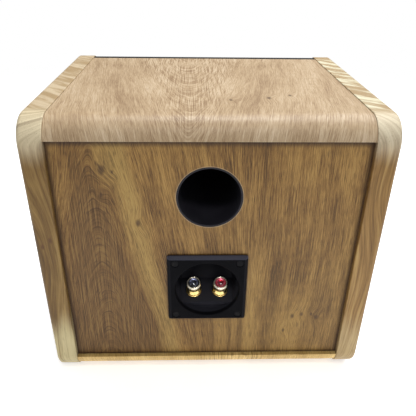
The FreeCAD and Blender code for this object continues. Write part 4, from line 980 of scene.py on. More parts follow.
@dataclass
class Stock:
    """The points, in millimetres, and the faces of a mesh being made."""

    points: list[Vector] = field(default_factory=list)
    faces: list[tuple[int, ...]] = field(default_factory=list)

    def loft(
        self, rings: Sequence[Sequence[Vector]], wrap: bool = True, caps: bool = True, close: bool = False,
    ) -> "Stock":
        """Skins rings of equal counts.

        Args:
            rings: The rings in order.
            wrap: Whether each ring is a closed loop.
            caps: Whether the first and last rings are filled.
            close: Whether the last ring joins the first.

        Returns:
            The same stock.
        """
        start = len(self.points)
        count = len(rings[0])
        for ring in rings:
            self.points.extend(Vector(point) for point in ring)
        rows = len(rings) if close else len(rings) - 1
        spans = count if wrap else count - 1
        for i in range(rows):
            a = start + i * count
            b = start + ((i + 1) % len(rings)) * count
            for k in range(spans):
                n = (k + 1) % count
                self.faces.append((a + k, a + n, b + n, b + k))
        if caps and not close:
            self.faces.append(tuple(start + k for k in reversed(range(count))))
            last = start + (len(rings) - 1) * count
            self.faces.append(tuple(last + k for k in range(count)))
        return self

    def turn(self, profile: Sequence[Flat], steps: int = ROUND) -> "Stock":
        """Turns an outline of (radius, height) about Z.

        Args:
            profile: A closed outline, or an open one that starts and ends on the axis, run so that
                it goes up the outside.
            steps: Sides of the turned shape.

        Returns:
            The same stock.
        """
        on_axis = profile[0][0] < 1e-6 and profile[-1][0] < 1e-6
        body = profile[1:-1] if on_axis else profile
        angles = [2 * math.pi * k / steps for k in range(steps)]
        rings = [[Vector((r * math.cos(a), r * math.sin(a), h)) for a in angles] for r, h in body]
        start = len(self.points)
        self.loft(rings, caps=False, close=not on_axis)
        if on_axis:
            for ring, height, flip in ((0, profile[0][1], False), (len(rings) - 1, profile[-1][1], True)):
                self.points.append(Vector((0, 0, height)))
                tip = len(self.points) - 1
                base = start + ring * steps
                for k in range(steps):
                    a, b = base + k, base + (k + 1) % steps
                    self.faces.append((a, b, tip) if flip else (b, a, tip))
        return self

    def moved(self, place: Matrix) -> "Stock":
        """A copy moved by a matrix whose shift is in metres."""
        points = [place @ (point * MM) / MM for point in self.points]
        return Stock(points, list(self.faces))

    def take(self, other: "Stock") -> "Stock":
        """Adds another stock's mesh to this one.

        Args:
            other: The stock whose mesh is taken.

        Returns:
            This stock.
        """
        start = len(self.points)
        self.points.extend(other.points)
        self.faces.extend(tuple(start + i for i in face) for face in other.faces)
        return self

    def piece(
        self, name: str, finish: Finish, place: Matrix = Matrix.Identity(4), crease: float = CREASE,
    ) -> bpy.types.Object:
        """Makes the mesh a piece.

        Args:
            name: The piece's name.
            finish: Its finish.
            place: Where it stands.
            crease: Edges sharper than this stay sharp.

        Returns:
            The new object.
        """
        mesh = bpy.data.meshes.new(name)
        mesh.from_pydata([tuple(point * MM) for point in self.points], [], self.faces)
        mesh.validate()
        mesh.materials.append(finish.material())
        made = bpy.data.objects.new(name, mesh)
        bpy.context.scene.collection.objects.link(made)
        made.matrix_world = place
        shade(made, crease)
        return made


def shade(piece: bpy.types.Object, crease: float = CREASE) -> None:
    """Smooth shading with sharp creases."""
    piece.data.shade_smooth()
    piece.data.set_sharp_from_angle(angle=crease)


class Cut(Enum):
    """How a tool meets a body."""

    AWAY = "DIFFERENCE"
    JOIN = "UNION"
    KEEP = "INTERSECT"


def carve(body: bpy.types.Object, tool: bpy.types.Object, how: Cut) -> None:
    """Cuts or joins a body with a tool and removes the tool.

    Args:
        body: The piece that is cut or joined.
        tool: The shape it is cut or joined with.
        how: Whether the tool is taken away, joined or kept.
    """
    cut = body.modifiers.new("cut", "BOOLEAN")
    cut.operation = how.value
    cut.object = tool
    cut.solver = "EXACT"
    bpy.context.view_layer.update()
    seen = body.evaluated_get(bpy.context.evaluated_depsgraph_get())
    mesh = bpy.data.meshes.new_from_object(seen)
    body.modifiers.clear()
    body.data = mesh
    bpy.data.objects.remove(tool)
    shade(body)


def weld(piece: bpy.types.Object, reach: float = 0.01) -> None:
    """Closes faces of no area.

    Args:
        piece: The piece to clean.
        reach: The length, in millimetres, below which an edge is closed up.
    """
    mesh = bmesh.new()
    mesh.from_mesh(piece.data)
    bmesh.ops.remove_doubles(mesh, verts=mesh.verts, dist=reach * MM)
    bmesh.ops.dissolve_degenerate(mesh, edges=mesh.edges, dist=reach * MM)
    mesh.to_mesh(piece.data)
    mesh.free()


def fit(piece: bpy.types.Object, body: str, *nodes: str) -> bpy.types.Object:
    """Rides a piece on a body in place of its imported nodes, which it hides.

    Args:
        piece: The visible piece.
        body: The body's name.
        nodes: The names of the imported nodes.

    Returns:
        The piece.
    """
    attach(piece, body)
    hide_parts(*nodes)
    LOG.info("made %s for %s", piece.name, ", ".join(nodes))
    return piece


def dress(finish: Finish, *nodes: str) -> None:
    """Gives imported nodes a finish.

    Args:
        finish: The finish.
        nodes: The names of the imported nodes.
    """
    for node in nodes:
        kept = frame["nodes"][node]
        if not kept.material_slots:
            kept.data.materials.append(finish.material())
        for held in kept.material_slots:
            held.material = finish.material()
        LOG.info("dressed %s", node)


# ---------------------------------------------------------------- sub-assemblies


@dataclass
class ScrewSet:
    """Countersunk cross-head screws that share one node."""

    node: str
    finish: Finish
    heads: Sequence[Vector]
    axis: Vector
    length: float
    head: float = 3.6
    shank: float = 1.8
    rise: float = 2.0
    slot_width: float = 0.85
    slot_reach: float = 2.1
    slot_depth: float = 1.3
    slot_lip: float = 0.06
    cross_share: float = 0.93
    turns: float = 0.6

    def template(self) -> Stock:
        """One screw with its head's face at Z 0 and a cross recess.

        Returns:
            The screw.
        """
        profile: list[Flat] = [(0, -self.length), (0.3, -self.length), (self.shank * 0.8, -self.length + 2.2)]
        low, high = -self.length + 2.2, -self.rise - 1.0
        count = max(2, int((high - low) / 1.3))
        for i in range(count):
            at = low + (high - low) * i / count
            pitch = (high - low) / count
            profile += [(self.shank, at + pitch * 0.35), (self.shank * 0.78, at + pitch * 0.8)]
        edge = [
            (self.shank, high), (self.shank, -self.rise), (self.head - 0.12, -0.12), (self.head - 0.2, 0.0), (0, 0.0),
        ]
        body = Stock().turn(profile + edge, 32).piece("screw_blank", self.finish)
        for turn, share in ((0.0, 1.0), (math.pi / 2, self.cross_share)):
            half, reach, low_reach = self.slot_width / 2, self.slot_reach, self.slot_reach * 0.45
            def ring(r: float, w: float, h: float) -> list[Vector]:
                """A rectangle of the recess at one height."""
                return [Vector((r, w, h)), Vector((-r, w, h)), Vector((-r, -w, h)), Vector((r, -w, h))]
            rings = [
                ring(low_reach, half * 0.6, -self.slot_depth * share),
                ring(reach, half, self.slot_lip), ring(reach, half, 0.5),
            ]
            flipped = [list(reversed(points)) for points in rings]
            tool = Stock().loft(flipped).moved(Matrix.Rotation(turn, 4, "Z")).piece("screw_tool", self.finish)
            carve(body, tool, Cut.AWAY)
        points = [vertex.co / MM for vertex in body.data.vertices]
        faces = [tuple(polygon.vertices) for polygon in body.data.polygons]
        bpy.data.objects.remove(body)
        return Stock(points, faces)

    def build(self, body: str = "root") -> bpy.types.Object:
        """All the screws of the node as one piece.

        Args:
            body: The body's name.

        Returns:
            The piece.
        """
        one = self.template()
        whole = Stock()
        for i, spot in enumerate(self.heads):
            whole.take(one.moved(stand(spot, self.axis) @ Matrix.Rotation(self.turns * (i + 1), 4, "Z")))
        return fit(whole.piece(self.node + "_set", self.finish), body, self.node)


@dataclass
class Cabinet:
    """The box: cheeks, shell panels, baffle, inner timber, wadding and feet."""

    foot_edge: float = 0.7
    foot_well: float = 4.2
    foot_web: float = 2.0
    foot_bore: float = 1.9
    pad_sag: float = 2.6
    pad_rows: int = 46
    pad_around: int = 72

    def panels(self) -> None:
        """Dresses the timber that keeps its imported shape."""
        dress(CHEEK_LEFT, "cheek_right")
        dress(CHEEK_RIGHT, "cheek_left")
        dress(TOP_OAK, "top_panel")
        dress(BOTTOM_OAK, "bottom_panel")
        dress(BLACK_BOARD, "baffle")
        dress(PINE, "cleat_left", "cleat_right")
        dress(PINE_SIDEWAYS, "brace")
        dress(BEECH, "dowels")

    def back(self, port: "Port") -> None:
        """Dresses the back, with a pale cut rim round the port's hole and painted shadow along its visible edges.

        Args:
            port: The port, for its hole's place and size.
        """
        spot = middle("port_tube")
        rim = CutEdge(spot.x, spot.z, port.outer, 0.8)
        cheek, edge = box("cheek_left"), box("cheek_right")
        side = min(cheek[1].x, edge[1].x)
        low, high = box("rear_panel")
        bottom = box("bottom_panel")[1].z
        # the frame's box carries the painted shadow round the panel's edges
        finish = replace(REAR_OAK, rim=(rim,), frame=(side, -side, bottom, high.z))
        LOG.info("back shows from %s to %s", (side, bottom), (-side, high.z))
        dress(finish, "rear_panel")

    def feet(self) -> None:
        """Four turned rubber feet, each with a screw in its well."""
        spots = []
        for end in ("front", "rear"):
            for side in ("left", "right"):
                node = f"foot_{end}_{side}"
                low, high = box(node)
                centre = (low + high) / 2
                wide = (high.x - low.x) / 2
                narrow = wide - 1.5
                tall = high.z - low.z
                outline = soften([
                    (self.foot_bore, self.foot_web), (self.foot_well, self.foot_web), (self.foot_well, 0.0),
                    (narrow, 0.0), (wide, tall), (self.foot_bore, tall),
                ], self.foot_edge)
                place = Matrix.Translation(Vector((centre.x, centre.y, low.z)) * MM)
                fit(Stock().turn(outline, 72).piece(node + "_pad", RUBBER, place), "root", node)
                spots.append(Vector((centre.x, centre.y, self.foot_web - 2.0)))
        low, high = box("foot_screws")
        ScrewSet("foot_screws", ZINC_SCREW, spots, Vector((0, 0, -1)), high.z - low.z).build()

    def wadding(self) -> None:
        """The damping pad: a slab with pulled-in edges and a crowned, uneven underside."""
        low, high = box("damping_pad")
        half_y, half_z = (high.y - low.y) / 2, (high.z - low.z) / 2
        centre = (low + high) / 2
        rings = []
        for i in range(self.pad_rows + 1):
            t = i / self.pad_rows
            x = low.x + (high.x - low.x) * t
            edge = min(1.0, min(t, 1 - t) * self.pad_rows / 3)
            squeeze = 0.80 + 0.20 * math.sqrt(max(0.0, 1 - (1 - edge) ** 2))
            ring = []
            for k in range(self.pad_around):
                a = 2 * math.pi * k / self.pad_around
                c, s = math.cos(a), math.sin(a)
                y = half_y * math.copysign(abs(c) ** 0.32, c)
                z = half_z * math.copysign(abs(s) ** 0.42, s)
                flat_top = s > 0.3
                lump = noise.noise(Vector((x, y, z)) * 0.028) * self.pad_sag
                fall = 0.0 if flat_top else lump
                y *= squeeze if edge < 1 else 1.0
                z = z * (squeeze if edge < 1 else 1.0)
                top = half_z - 0.05
                z = min(top, z + (0.0 if flat_top else max(0.0, fall + self.pad_sag * 0.5)))
                ring.append(Vector((x, centre.y + y, centre.z + (top if flat_top and abs(y) < half_y * 0.9 else z))))
            rings.append(ring)
        pad = fit(Stock().loft(rings).piece("wadding_pad", WADDING, crease=math.radians(70)), "root", "damping_pad")

    def build(self, port: "Port") -> None:
        """Makes and dresses the box.

        Args:
            port: The port, for its hole's place and size.
        """
        self.panels()
        self.back(port)
        self.feet()
        self.wadding()


@dataclass
class Port:
    """The tuning tube, flush with the back, with a collar behind the panel."""

    inner: float = 29.0
    outer: float = 31.0
    collar: float = 36.0
    collar_front: float = 16.0
    collar_back: float = 20.0
    lip: float = 0.9

    def build(self) -> None:
        """Makes the tube."""
        low, high = box("port_tube")
        centre = (low + high) / 2
        length = high.y - low.y
        outline = soften([
            (self.inner, 0.0), (self.inner, -length), (self.outer, -length), (self.outer, -self.collar_back),
            (self.collar, -self.collar_back), (self.collar, -self.collar_front), (self.outer, -self.collar_front),
            (self.outer, 0.0),
        ], self.lip)
        place = stand((centre.x, high.y, centre.z), (0, 1, 0))
        fit(Stock().turn(outline, 160).piece("port_sleeve", PORT_PLASTIC, place), "root", "port_tube")


def square_ring(half: float, corner: float, height: float, count: int) -> list[Vector]:
    """A square with round corners, as points at even angles round its middle.

    Args:
        half: Half the square's side.
        corner: Its corners' radius.
        height: The ring's height.
        count: How many points.

    Returns:
        The points.
    """
    ring = []
    straight = half - corner
    for k in range(count):
        a = 2 * math.pi * k / count
        c, s = math.cos(a), math.sin(a)
        reach = half / max(abs(c), abs(s))
        if min(abs(c), abs(s)) * reach > straight:
            mid = straight * (abs(c) + abs(s))
            reach = mid + math.sqrt(max(0.0, mid * mid - 2 * straight**2 + corner**2))
        ring.append(Vector((c * reach, s * reach, height)))
    return ring


def circle_ring(radius: float, height: float, count: int) -> list[Vector]:
    """A circle as points at even angles."""
    angles = [2 * math.pi * k / count for k in range(count)]
    return [Vector((radius * math.cos(a), radius * math.sin(a), height)) for a in angles]


@dataclass
class TerminalCup:
    """A bevelled square plate with a round recess and a sloping platform for the posts."""

    corner: float = 1.6
    mouth: float = 32.5
    floor: float = 28.0
    depth: float = 28.0
    wall: float = 1.8
    chord_depth: float = 4.0
    chord_drop: float = 18.8
    trough_depth: float = 9.0
    trough_drop: float = 8.0
    slope: float = 0.5317
    thickness: float = 4.0
    platform_wall: float = 3.0
    screw_sink: float = 0.4
    screw_head: float = 3.6
    steps: int = 192

    def rings(self, half: float) -> list[list[Vector]]:
        """The plate and the recess from the back of the plate to the recess floor.

        Args:
            half: Half the plate's width.

        Returns:
            The rings in order, from the back of the plate.
        """
        n = self.steps
        rings = [square_ring(half - 0.3, self.corner, -self.thickness, n)]
        for inset, height in ((0.08, -3.9), (0.0, -3.7), (0.0, -3.15), (0.1, -2.9), (0.35, -2.6)):
            rings.append(square_ring(half - inset, self.corner, height, n))
        for inset, height in ((2.6, -0.35), (2.85, -0.14), (3.2, -0.02), (3.7, 0.0)):
            rings.append(square_ring(half - inset, self.corner * 0.6, height, n))
        for proud, height in ((1.6, 0.0), (0.9, -0.02), (0.45, -0.13), (0.15, -0.38), (0.03, -0.8)):
            rings.append(circle_ring(self.mouth + proud, height, n))
        shrink = (self.mouth - self.floor) / self.depth
        for height in (-4.0, -10.0, -16.0, -22.0, -26.6):
            rings.append(circle_ring(self.mouth + shrink * height, height, n))
        for inset, height in ((0.35, -27.4), (0.9, -27.85), (1.6, -28.0), (12.0, -28.0)):
            rings.append(circle_ring(self.floor - inset, height, n))
        return rings

    def shell(self, half: float, place: Matrix) -> bpy.types.Object:
        """The plate, barrel and recess as one closed skin.

        Args:
            half: Half the plate's width.
            place: Where the shape stands.

        Returns:
            The piece.
        """
        n = self.steps
        inside = self.rings(half)
        back = self.depth + self.wall
        outside = [
            circle_ring(10.0, -back, n), circle_ring(self.floor + self.wall - 0.8, -back, n),
            circle_ring(self.floor + self.wall, -back + 0.8, n),
            circle_ring(self.mouth + self.wall - 0.3, -self.thickness - 0.1, n),
            circle_ring(self.mouth + self.wall, -self.thickness, n),
        ]
        return Stock().loft(outside + inside).piece("terminal_cup_shell", CUP_PLASTIC, place)

    def prism(self, outline: Sequence[Flat], place: Matrix) -> bpy.types.Object:
        """A bar across the cup from a side section of (height above the plate, rise above the middle).

        Args:
            outline: The side section.
            place: Where the shape stands.

        Returns:
            The bar.
        """
        reach = self.mouth + 6
        rings = [[Vector((x, rise, height)) for height, rise in outline] for x in (-reach, reach)]
        return Stock().loft(rings).piece("cup_prism", CUP_PLASTIC, place)

    def platform(self, place: Matrix) -> bpy.types.Object:
        """The sloping platform, trimmed to the recess.

        Args:
            place: Where the shape stands.

        Returns:
            The block.
        """
        far = self.depth + 1.2
        rise = -self.chord_drop + (far - self.chord_depth) * self.slope
        low = -self.mouth - 5
        section = [
            (-self.chord_depth, -self.chord_drop), (-far, rise), (-far, low), (-self.trough_depth, low),
            (-self.trough_depth, -self.chord_drop - self.trough_drop),
        ]
        block = self.prism(list(reversed(soften(section, 0.7))), place)
        shrink = (self.mouth - self.floor) / self.depth
        grip = 0.8
        cone = [
            (0.0, -self.depth - 1.0), (self.floor + grip - shrink, -self.depth - 1.0),
            (self.mouth + grip, 0.0), (0.0, 0.0),
        ]
        carve(block, Stock().turn(cone, self.steps).piece("cup_trim", CUP_PLASTIC, place), Cut.KEEP)
        return block

    def hollow(self, place: Matrix) -> bpy.types.Object:
        """The space behind the platform that holds the posts' nuts and tags.

        Args:
            place: Where the shape stands.

        Returns:
            The shape to take away.
        """
        near, far = self.trough_depth + self.wall + 0.1, self.depth + self.wall + 1.0
        drop = self.platform_wall * math.hypot(1.0, self.slope)
        low = -self.mouth - 5
        levels = [(-reach, -self.chord_drop + (reach - self.chord_depth) * self.slope - drop) for reach in (near, far)]
        block = self.prism(list(reversed(levels + [(-far, low), (-near, low)])), place)
        shrink = (self.mouth - self.floor) / self.depth
        inner = self.mouth - 0.2
        barrel = [
            (0.0, -far - 1.0), (inner - shrink * (far + 1.0), -far - 1.0),
            (inner - shrink * 5.0, -5.0), (0.0, -5.0),
        ]
        carve(block, Stock().turn(barrel, self.steps).piece("cup_barrel", CUP_PLASTIC, place), Cut.KEEP)
        return block

    def build(self) -> None:
        """Makes the cup, its gasket and its screws."""
        low, high = box("terminal_cup")
        plate_low, plate_high = box("terminal_gasket")
        centre = Vector(((low.x + high.x) / 2, high.y, (low.z + high.z) / 2))
        half = (high.x - low.x) / 2
        place = stand(centre, (0, 1, 0))
        cup = self.shell(half, place)
        carve(cup, self.platform(place), Cut.JOIN)
        carve(cup, self.hollow(place), Cut.AWAY)
        weld(cup)
        low, high = box("terminal_screws")
        spots = [
            Vector((x, centre.y - self.screw_sink, z))
            for x in (low.x + self.screw_head, high.x - self.screw_head)
            for z in (low.z + self.screw_head, high.z - self.screw_head)
        ]
        well = soften([
            (0.0, -2.2), (1.9, -2.2), (self.screw_head + 0.15, -0.25), (self.screw_head + 0.35, 0.5), (0.0, 0.5),
        ], 0.15, closed=False)
        tools = Stock()
        for spot in spots:
            tools.take(Stock().turn(well, 40).moved(stand(spot, (0, 1, 0))))
        carve(cup, tools.piece("cup_wells", CUP_PLASTIC), Cut.AWAY)
        fit(cup, "root", "terminal_cup")
        dress(GASKET_FOAM, "terminal_gasket")
        length = high.y - low.y
        ScrewSet("terminal_screws", BLACK_SCREW, spots, Vector((0, 1, 0)), length).build()


@dataclass
class BindingPost:
    """A gold-plated post: stud and collar, clamp washer, screw cap with its insert, nut and tag."""

    colour: str
    jewel: Finish
    stud: float = 2.5
    stud_top: float = 15.0
    stud_tail: float = 10.5
    collar: float = 8.0
    collar_top: float = 2.4
    washer: float = 6.4
    washer_low: float = 2.45
    washer_high: float = 3.65
    cap_base: float = 3.7
    cap_top: float = 20.0
    skirt: float = 7.6
    waist: float = 5.3
    head: float = 7.4
    insert: float = 5.5
    insert_seat: float = 2.6
    insert_rise: float = 1.8

    def threads(self, low: float, high: float, pitch: float = 0.8, depth: float = 0.18) -> list[Flat]:
        """The outline of a rolled thread.

        Args:
            low: The height of the first thread.
            high: The height of the last thread.
            pitch: The rise of one turn.
            depth: How deep the thread is cut.

        Returns:
            The outline, from low to high.
        """
        count = int((high - low) / pitch)
        points: list[Flat] = []
        for i in range(count):
            at = low + i * pitch
            points += [(self.stud - depth, at), (self.stud, at + pitch / 2)]
        return points

    def place(self) -> Matrix:
        """The post's own frame, from its cap's joint."""
        turn = joint(f"{self.colour}_cap_turn")
        return stand([part / MM for part in turn["pos_m"]], turn["axis"])

    def cap(self, place: Matrix) -> None:
        """The waisted cap with a fine knurl round its head.

        Args:
            place: Where the shape stands.
        """
        base, top = self.cap_base, self.cap_top
        bore = self.stud + 0.1
        outline = soften([
            (bore, base), (self.skirt, base), (self.skirt, base + 1.1), (self.waist, base + 4.9),
            (self.waist, base + 6.8), (self.head, base + 9.1), (self.head, top - 0.9), (self.head - 0.9, top),
            (self.insert, top), (self.insert, top - self.insert_seat), (bore, top - self.insert_seat - 1.2),
        ], 0.42, steps=3)
        stock = Stock().turn(outline, 144)
        for i, point in enumerate(stock.points):
            reach = math.hypot(point.x, point.y)
            if reach > self.head - 0.05 and point.z > base + 9.0:
                ridge = 0.5 + 0.5 * math.cos(48 * math.atan2(point.y, point.x))
                stock.points[i] = Vector((point.x * (1 - 0.018 * ridge), point.y * (1 - 0.018 * ridge), point.z))
        fit(stock.piece(f"post_cap_{self.colour}", GILT_CAP, place), f"{self.colour}_cap", f"cap_{self.colour}")

    def dome(self, place: Matrix) -> None:
        """The clear insert, a low dome.

        Args:
            place: Where the shape stands.
        """
        top = self.cap_top
        outline: list[Flat] = [(0.0, top - self.insert_seat), (self.insert - 0.05, top - self.insert_seat)]
        ball = (self.insert**2 + self.insert_rise**2) / (2 * self.insert_rise)
        reach = math.asin(self.insert / ball)
        for i in range(15):
            a = reach * (1 - i / 14)
            outline.append((ball * math.sin(a) * 0.99, top + self.insert_rise - ball + ball * math.cos(a)))
        outline[-1] = (0.0, top + self.insert_rise)
        piece = Stock().turn(outline, 72).piece(f"post_insert_{self.colour}", self.jewel, place)
        fit(piece, f"{self.colour}_cap", f"cap_insert_{self.colour}")

    def build(self) -> None:
        """Makes the post and dresses its nut and tag."""
        place = self.place()
        stem: list[Flat] = [(0.0, -self.stud_tail), (self.stud - 0.4, -self.stud_tail)]
        stem += self.threads(-self.stud_tail + 0.4, -3.2) + [(self.stud, -3.0)]
        collar = [(self.stud, 0.0), (self.collar, 0.0), (self.collar, self.collar_top), (self.stud, self.collar_top)]
        stem += soften(collar, 0.45, closed=False)
        stem += self.threads(self.collar_top + 0.4, self.stud_top - 0.5)
        stem += [(self.stud - 0.5, self.stud_top), (0.0, self.stud_top)]
        fit(Stock().turn(stem, 72).piece(f"post_stem_{self.colour}", GILT, place), "root", f"post_{self.colour}")
        bore = self.stud + 0.1
        ring = soften([
            (bore, self.washer_low), (self.washer, self.washer_low),
            (self.washer, self.washer_high), (bore, self.washer_high),
        ], 0.25)
        washer = Stock().turn(ring, 72).piece(f"post_washer_{self.colour}", GILT, place)
        fit(washer, f"{self.colour}_clamp", f"clamp_washer_{self.colour}")
        self.cap(place)
        self.dome(place)
        dress(GILT, f"post_nut_{self.colour}", f"solder_tag_{self.colour}")


@dataclass
class Woofer:
    """The eight-inch driver: basket, cone, surround, spider, coil and magnet."""

    cone_rim: float = 76.0
    cone_lip: float = 72.5
    cone_depth: float = 36.0
    throat: float = 19.4
    roll: float = 6.5
    roll_wall: float = 0.6
    flange: float = 94.0
    spider_outer: float = 56.6
    spider_depth: float = 47.0
    spider_wave: float = 1.6
    spider_wall: float = 0.8
    waves: int = 5
    dome_base: float = 25.0
    dome_rise: float = 9.0
    dome_wall: float = 0.7
    coil_rows: int = 22
    screws: int = 8
    screw_circle: float = 98.5
    screw_start: float = 22.5

    def place(self) -> Matrix:
        """The driver's frame: Z runs forward out of the baffle's face, so depths are negative.

        Returns:
            The frame at the driver's mounting plane.
        """
        cone_low, cone_high = box("cone")
        centre = (cone_low + cone_high) / 2
        return stand((centre.x, cone_low.y, centre.z), (0, -1, 0))

    def slope(self) -> float:
        """The cone's depth per millimetre of radius."""
        return self.cone_depth / (self.cone_lip - self.throat)

    def cone(self, place: Matrix) -> None:
        """The ribbed pulp cone.

        Args:
            place: Where the shape stands.
        """
        front: list[Flat] = []
        count = 60
        for i in range(count + 1):
            t = i / count
            r = self.throat + (self.cone_lip - self.throat) * t
            depth = self.cone_depth * (1 - t)
            rib = 0.0
            for at in (0.42, 0.60, 0.78):
                rib += 0.35 * math.exp(-(((t - at) / 0.012) ** 2))
            front.append((r, -depth - rib))
        back = [(r + 0.1, depth - 1.15) for r, depth in reversed(front[2:-2])]
        outline = front + [(self.cone_rim, 0.0), (self.cone_rim, -0.85), (self.cone_lip + 0.4, -0.9)] + back
        outline += [(self.throat, -self.cone_depth - 1.4)]
        outline.reverse()
        fit(Stock().turn(outline, 144).piece("woofer_cone_pulp", PULP, place), "woofer_cone", "cone")

    def dome(self, place: Matrix) -> None:
        """The dust cap, a pressed dome.

        Args:
            place: Where the shape stands.
        """
        rim = -(self.cone_lip - self.dome_base) * self.slope()
        ball = (self.dome_base**2 + self.dome_rise**2) / (2 * self.dome_rise)
        reach = math.asin(self.dome_base / ball)
        outer = [
            (ball * math.sin(reach * i / 24), rim + self.dome_rise - ball + ball * math.cos(reach * i / 24))
            for i in range(25)
        ]
        inner = [(r * 0.985, h - self.dome_wall) for r, h in outer]
        outline = [(0.0, inner[0][1])] + inner[1:-1] + list(reversed(outer[1:])) + [(0.0, outer[0][1])]
        fit(Stock().turn(outline, 96).piece("woofer_dust_cap", PULP, place), "woofer_cone", "dust_cap")

    def skin(self, line: Sequence[Flat], wall: float) -> list[Flat]:
        """A closed outline round a line, wall thick, with the line as its front."""
        return list(line) + [(r, h - wall) for r, h in reversed(line)]

    def stretch(self, piece: bpy.types.Object, fixed: float, moving: float) -> None:
        """Bakes a ring's place into its mesh and works out each point's smooth share of travel from its fixed radius
        to the radius that moves with the cone, but keeps none of it.

        Args:
            piece: The visible piece.
            fixed: The radius that stays.
            moving: The radius that moves.
        """
        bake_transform(piece)
        cone_low, cone_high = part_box("cone")
        axis = (cone_low + cone_high) / 2
        for vertex in piece.data.vertices:
            reach = math.hypot(vertex.co.x - axis.x, vertex.co.z - axis.z) / MM
            t = min(1.0, max(0.0, (fixed - reach) / (fixed - moving)))
            t * t * (3 - 2 * t)

    def surround(self, place: Matrix) -> None:
        """The half-roll rubber surround, from the cone's rim to the flange, rolled inwards.

        Args:
            place: Where the shape stands.
        """
        centre = self.cone_rim + self.roll
        base = self.roll_wall
        inside = self.roll - self.roll_wall
        front: list[Flat] = [(self.cone_lip + 0.3, base)]
        for i in range(25):
            a = math.pi * (1 - i / 24)
            front.append((centre + inside * math.cos(a), base - inside * math.sin(a)))
        front += [(self.flange, base)]
        foot = math.asin(base / self.roll)
        back: list[Flat] = [(self.flange, 0.0)]
        for i in range(25):
            a = foot + (math.pi - 2 * foot) * i / 24
            back.append((centre + self.roll * math.cos(a), base - self.roll * math.sin(a)))
        back.append((self.cone_lip + 0.3, 0.0))
        outline = front + back
        outline.reverse()
        piece = Stock().turn(outline, 144).piece("woofer_surround", SURROUND_RUBBER, place)
        self.stretch(piece, centre + self.roll, self.cone_rim)
        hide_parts("surround")

    def spider(self, place: Matrix) -> None:
        """The corrugated centring cloth on the coil former.

        Args:
            place: Where the shape stands.
        """
        start = self.throat + 3
        line: list[Flat] = [(self.throat, -self.spider_depth + self.spider_wall)]
        end = self.spider_outer - 6.6
        for i in range(81):
            t = i / 80
            wave = math.sin(2 * math.pi * self.waves * t) * self.spider_wave * min(1.0, 6 * t, 6 * (1 - t))
            line.append((start + (end - start) * t, -self.spider_depth + self.spider_wall + wave))
        line.append((self.spider_outer, -self.spider_depth + self.spider_wall))
        outline = self.skin(line, self.spider_wall)
        outline.reverse()
        piece = Stock().turn(outline, 96).piece("woofer_spider", SPIDER_CLOTH, place)
        self.stretch(piece, end, start)
        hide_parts("spider")

    def ring(self, node: str, name: str, finish: Finish, body: str, edge: float, inner: float) -> None:
        """A turned ring with softened edges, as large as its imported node.

        Args:
            node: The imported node.
            name: The piece's name.
            finish: The finish.
            body: The body's name.
            edge: The edges' rounding.
            inner: The hole, or 0 for none.
        """
        low, high = box(node)
        outer = (high.x - low.x) / 2
        top = box("cone")[0].y - low.y
        bottom = box("cone")[0].y - high.y
        if inner > 0:
            outline = soften([(inner, bottom), (outer, bottom), (outer, top), (inner, top)], edge)
        else:
            outline = soften([(0.0, bottom), (outer, bottom), (outer, top), (0.0, top)], edge, closed=False)
        fit(Stock().turn(outline, ROUND).piece(name, finish, self.place()), body, node)

    def coil(self, place: Matrix) -> None:
        """The voice coil's turns, side by side on the former.

        Args:
            place: Where the shape stands.
        """
        low, high = box("voice_coil")
        face = box("cone")[0].y
        top, bottom = face - low.y, face - high.y
        outer = (high.x - low.x) / 2
        outline: list[Flat] = [(self.throat + 0.02, top), (self.throat + 0.02, bottom)]
        pitch = (top - bottom) / self.coil_rows
        for i in range(self.coil_rows):
            for share in (0.12, 0.35, 0.65, 0.88):
                bulge = math.sqrt(1 - (2 * share - 1) ** 2)
                outline.append((outer - pitch * 0.45 * (1 - bulge), bottom + pitch * (i + share)))
        fit(Stock().turn(outline, 72).piece("woofer_voice_coil", COPPER, place), "woofer_cone", "voice_coil")

    def build(self) -> None:
        """Makes the driver."""
        place = self.place()
        self.cone(place)
        self.dome(place)
        self.surround(place)
        self.spider(place)
        self.coil(place)
        self.ring("woofer_ring", "woofer_trim_ring", GASKET_FOAM, "root", 0.7, 90.5)
        self.ring("magnet", "woofer_magnet", FERRITE, "root", 1.2, 26.0)
        self.ring("top_plate", "woofer_top_plate", STEEL, "root", 0.6, 20.7)
        dress(STEEL, "yoke")
        dress(BASKET_PAINT, "woofer_basket")
        dress(FORMER, "coil_former")
        dress(LAMINATE, "woofer_terminals")
        face = box("baffle")[0].y
        centre = middle("cone")
        spots = []
        for i in range(self.screws):
            a = math.radians(self.screw_start + 360 / self.screws * i)
            spots.append(Vector((self.screw_circle * math.cos(a), face, centre.z + self.screw_circle * math.sin(a))))
        low, high = box("woofer_screws")
        ScrewSet("woofer_screws", BLACK_SCREW, spots, Vector((0, -1, 0)), high.y - low.y).build()


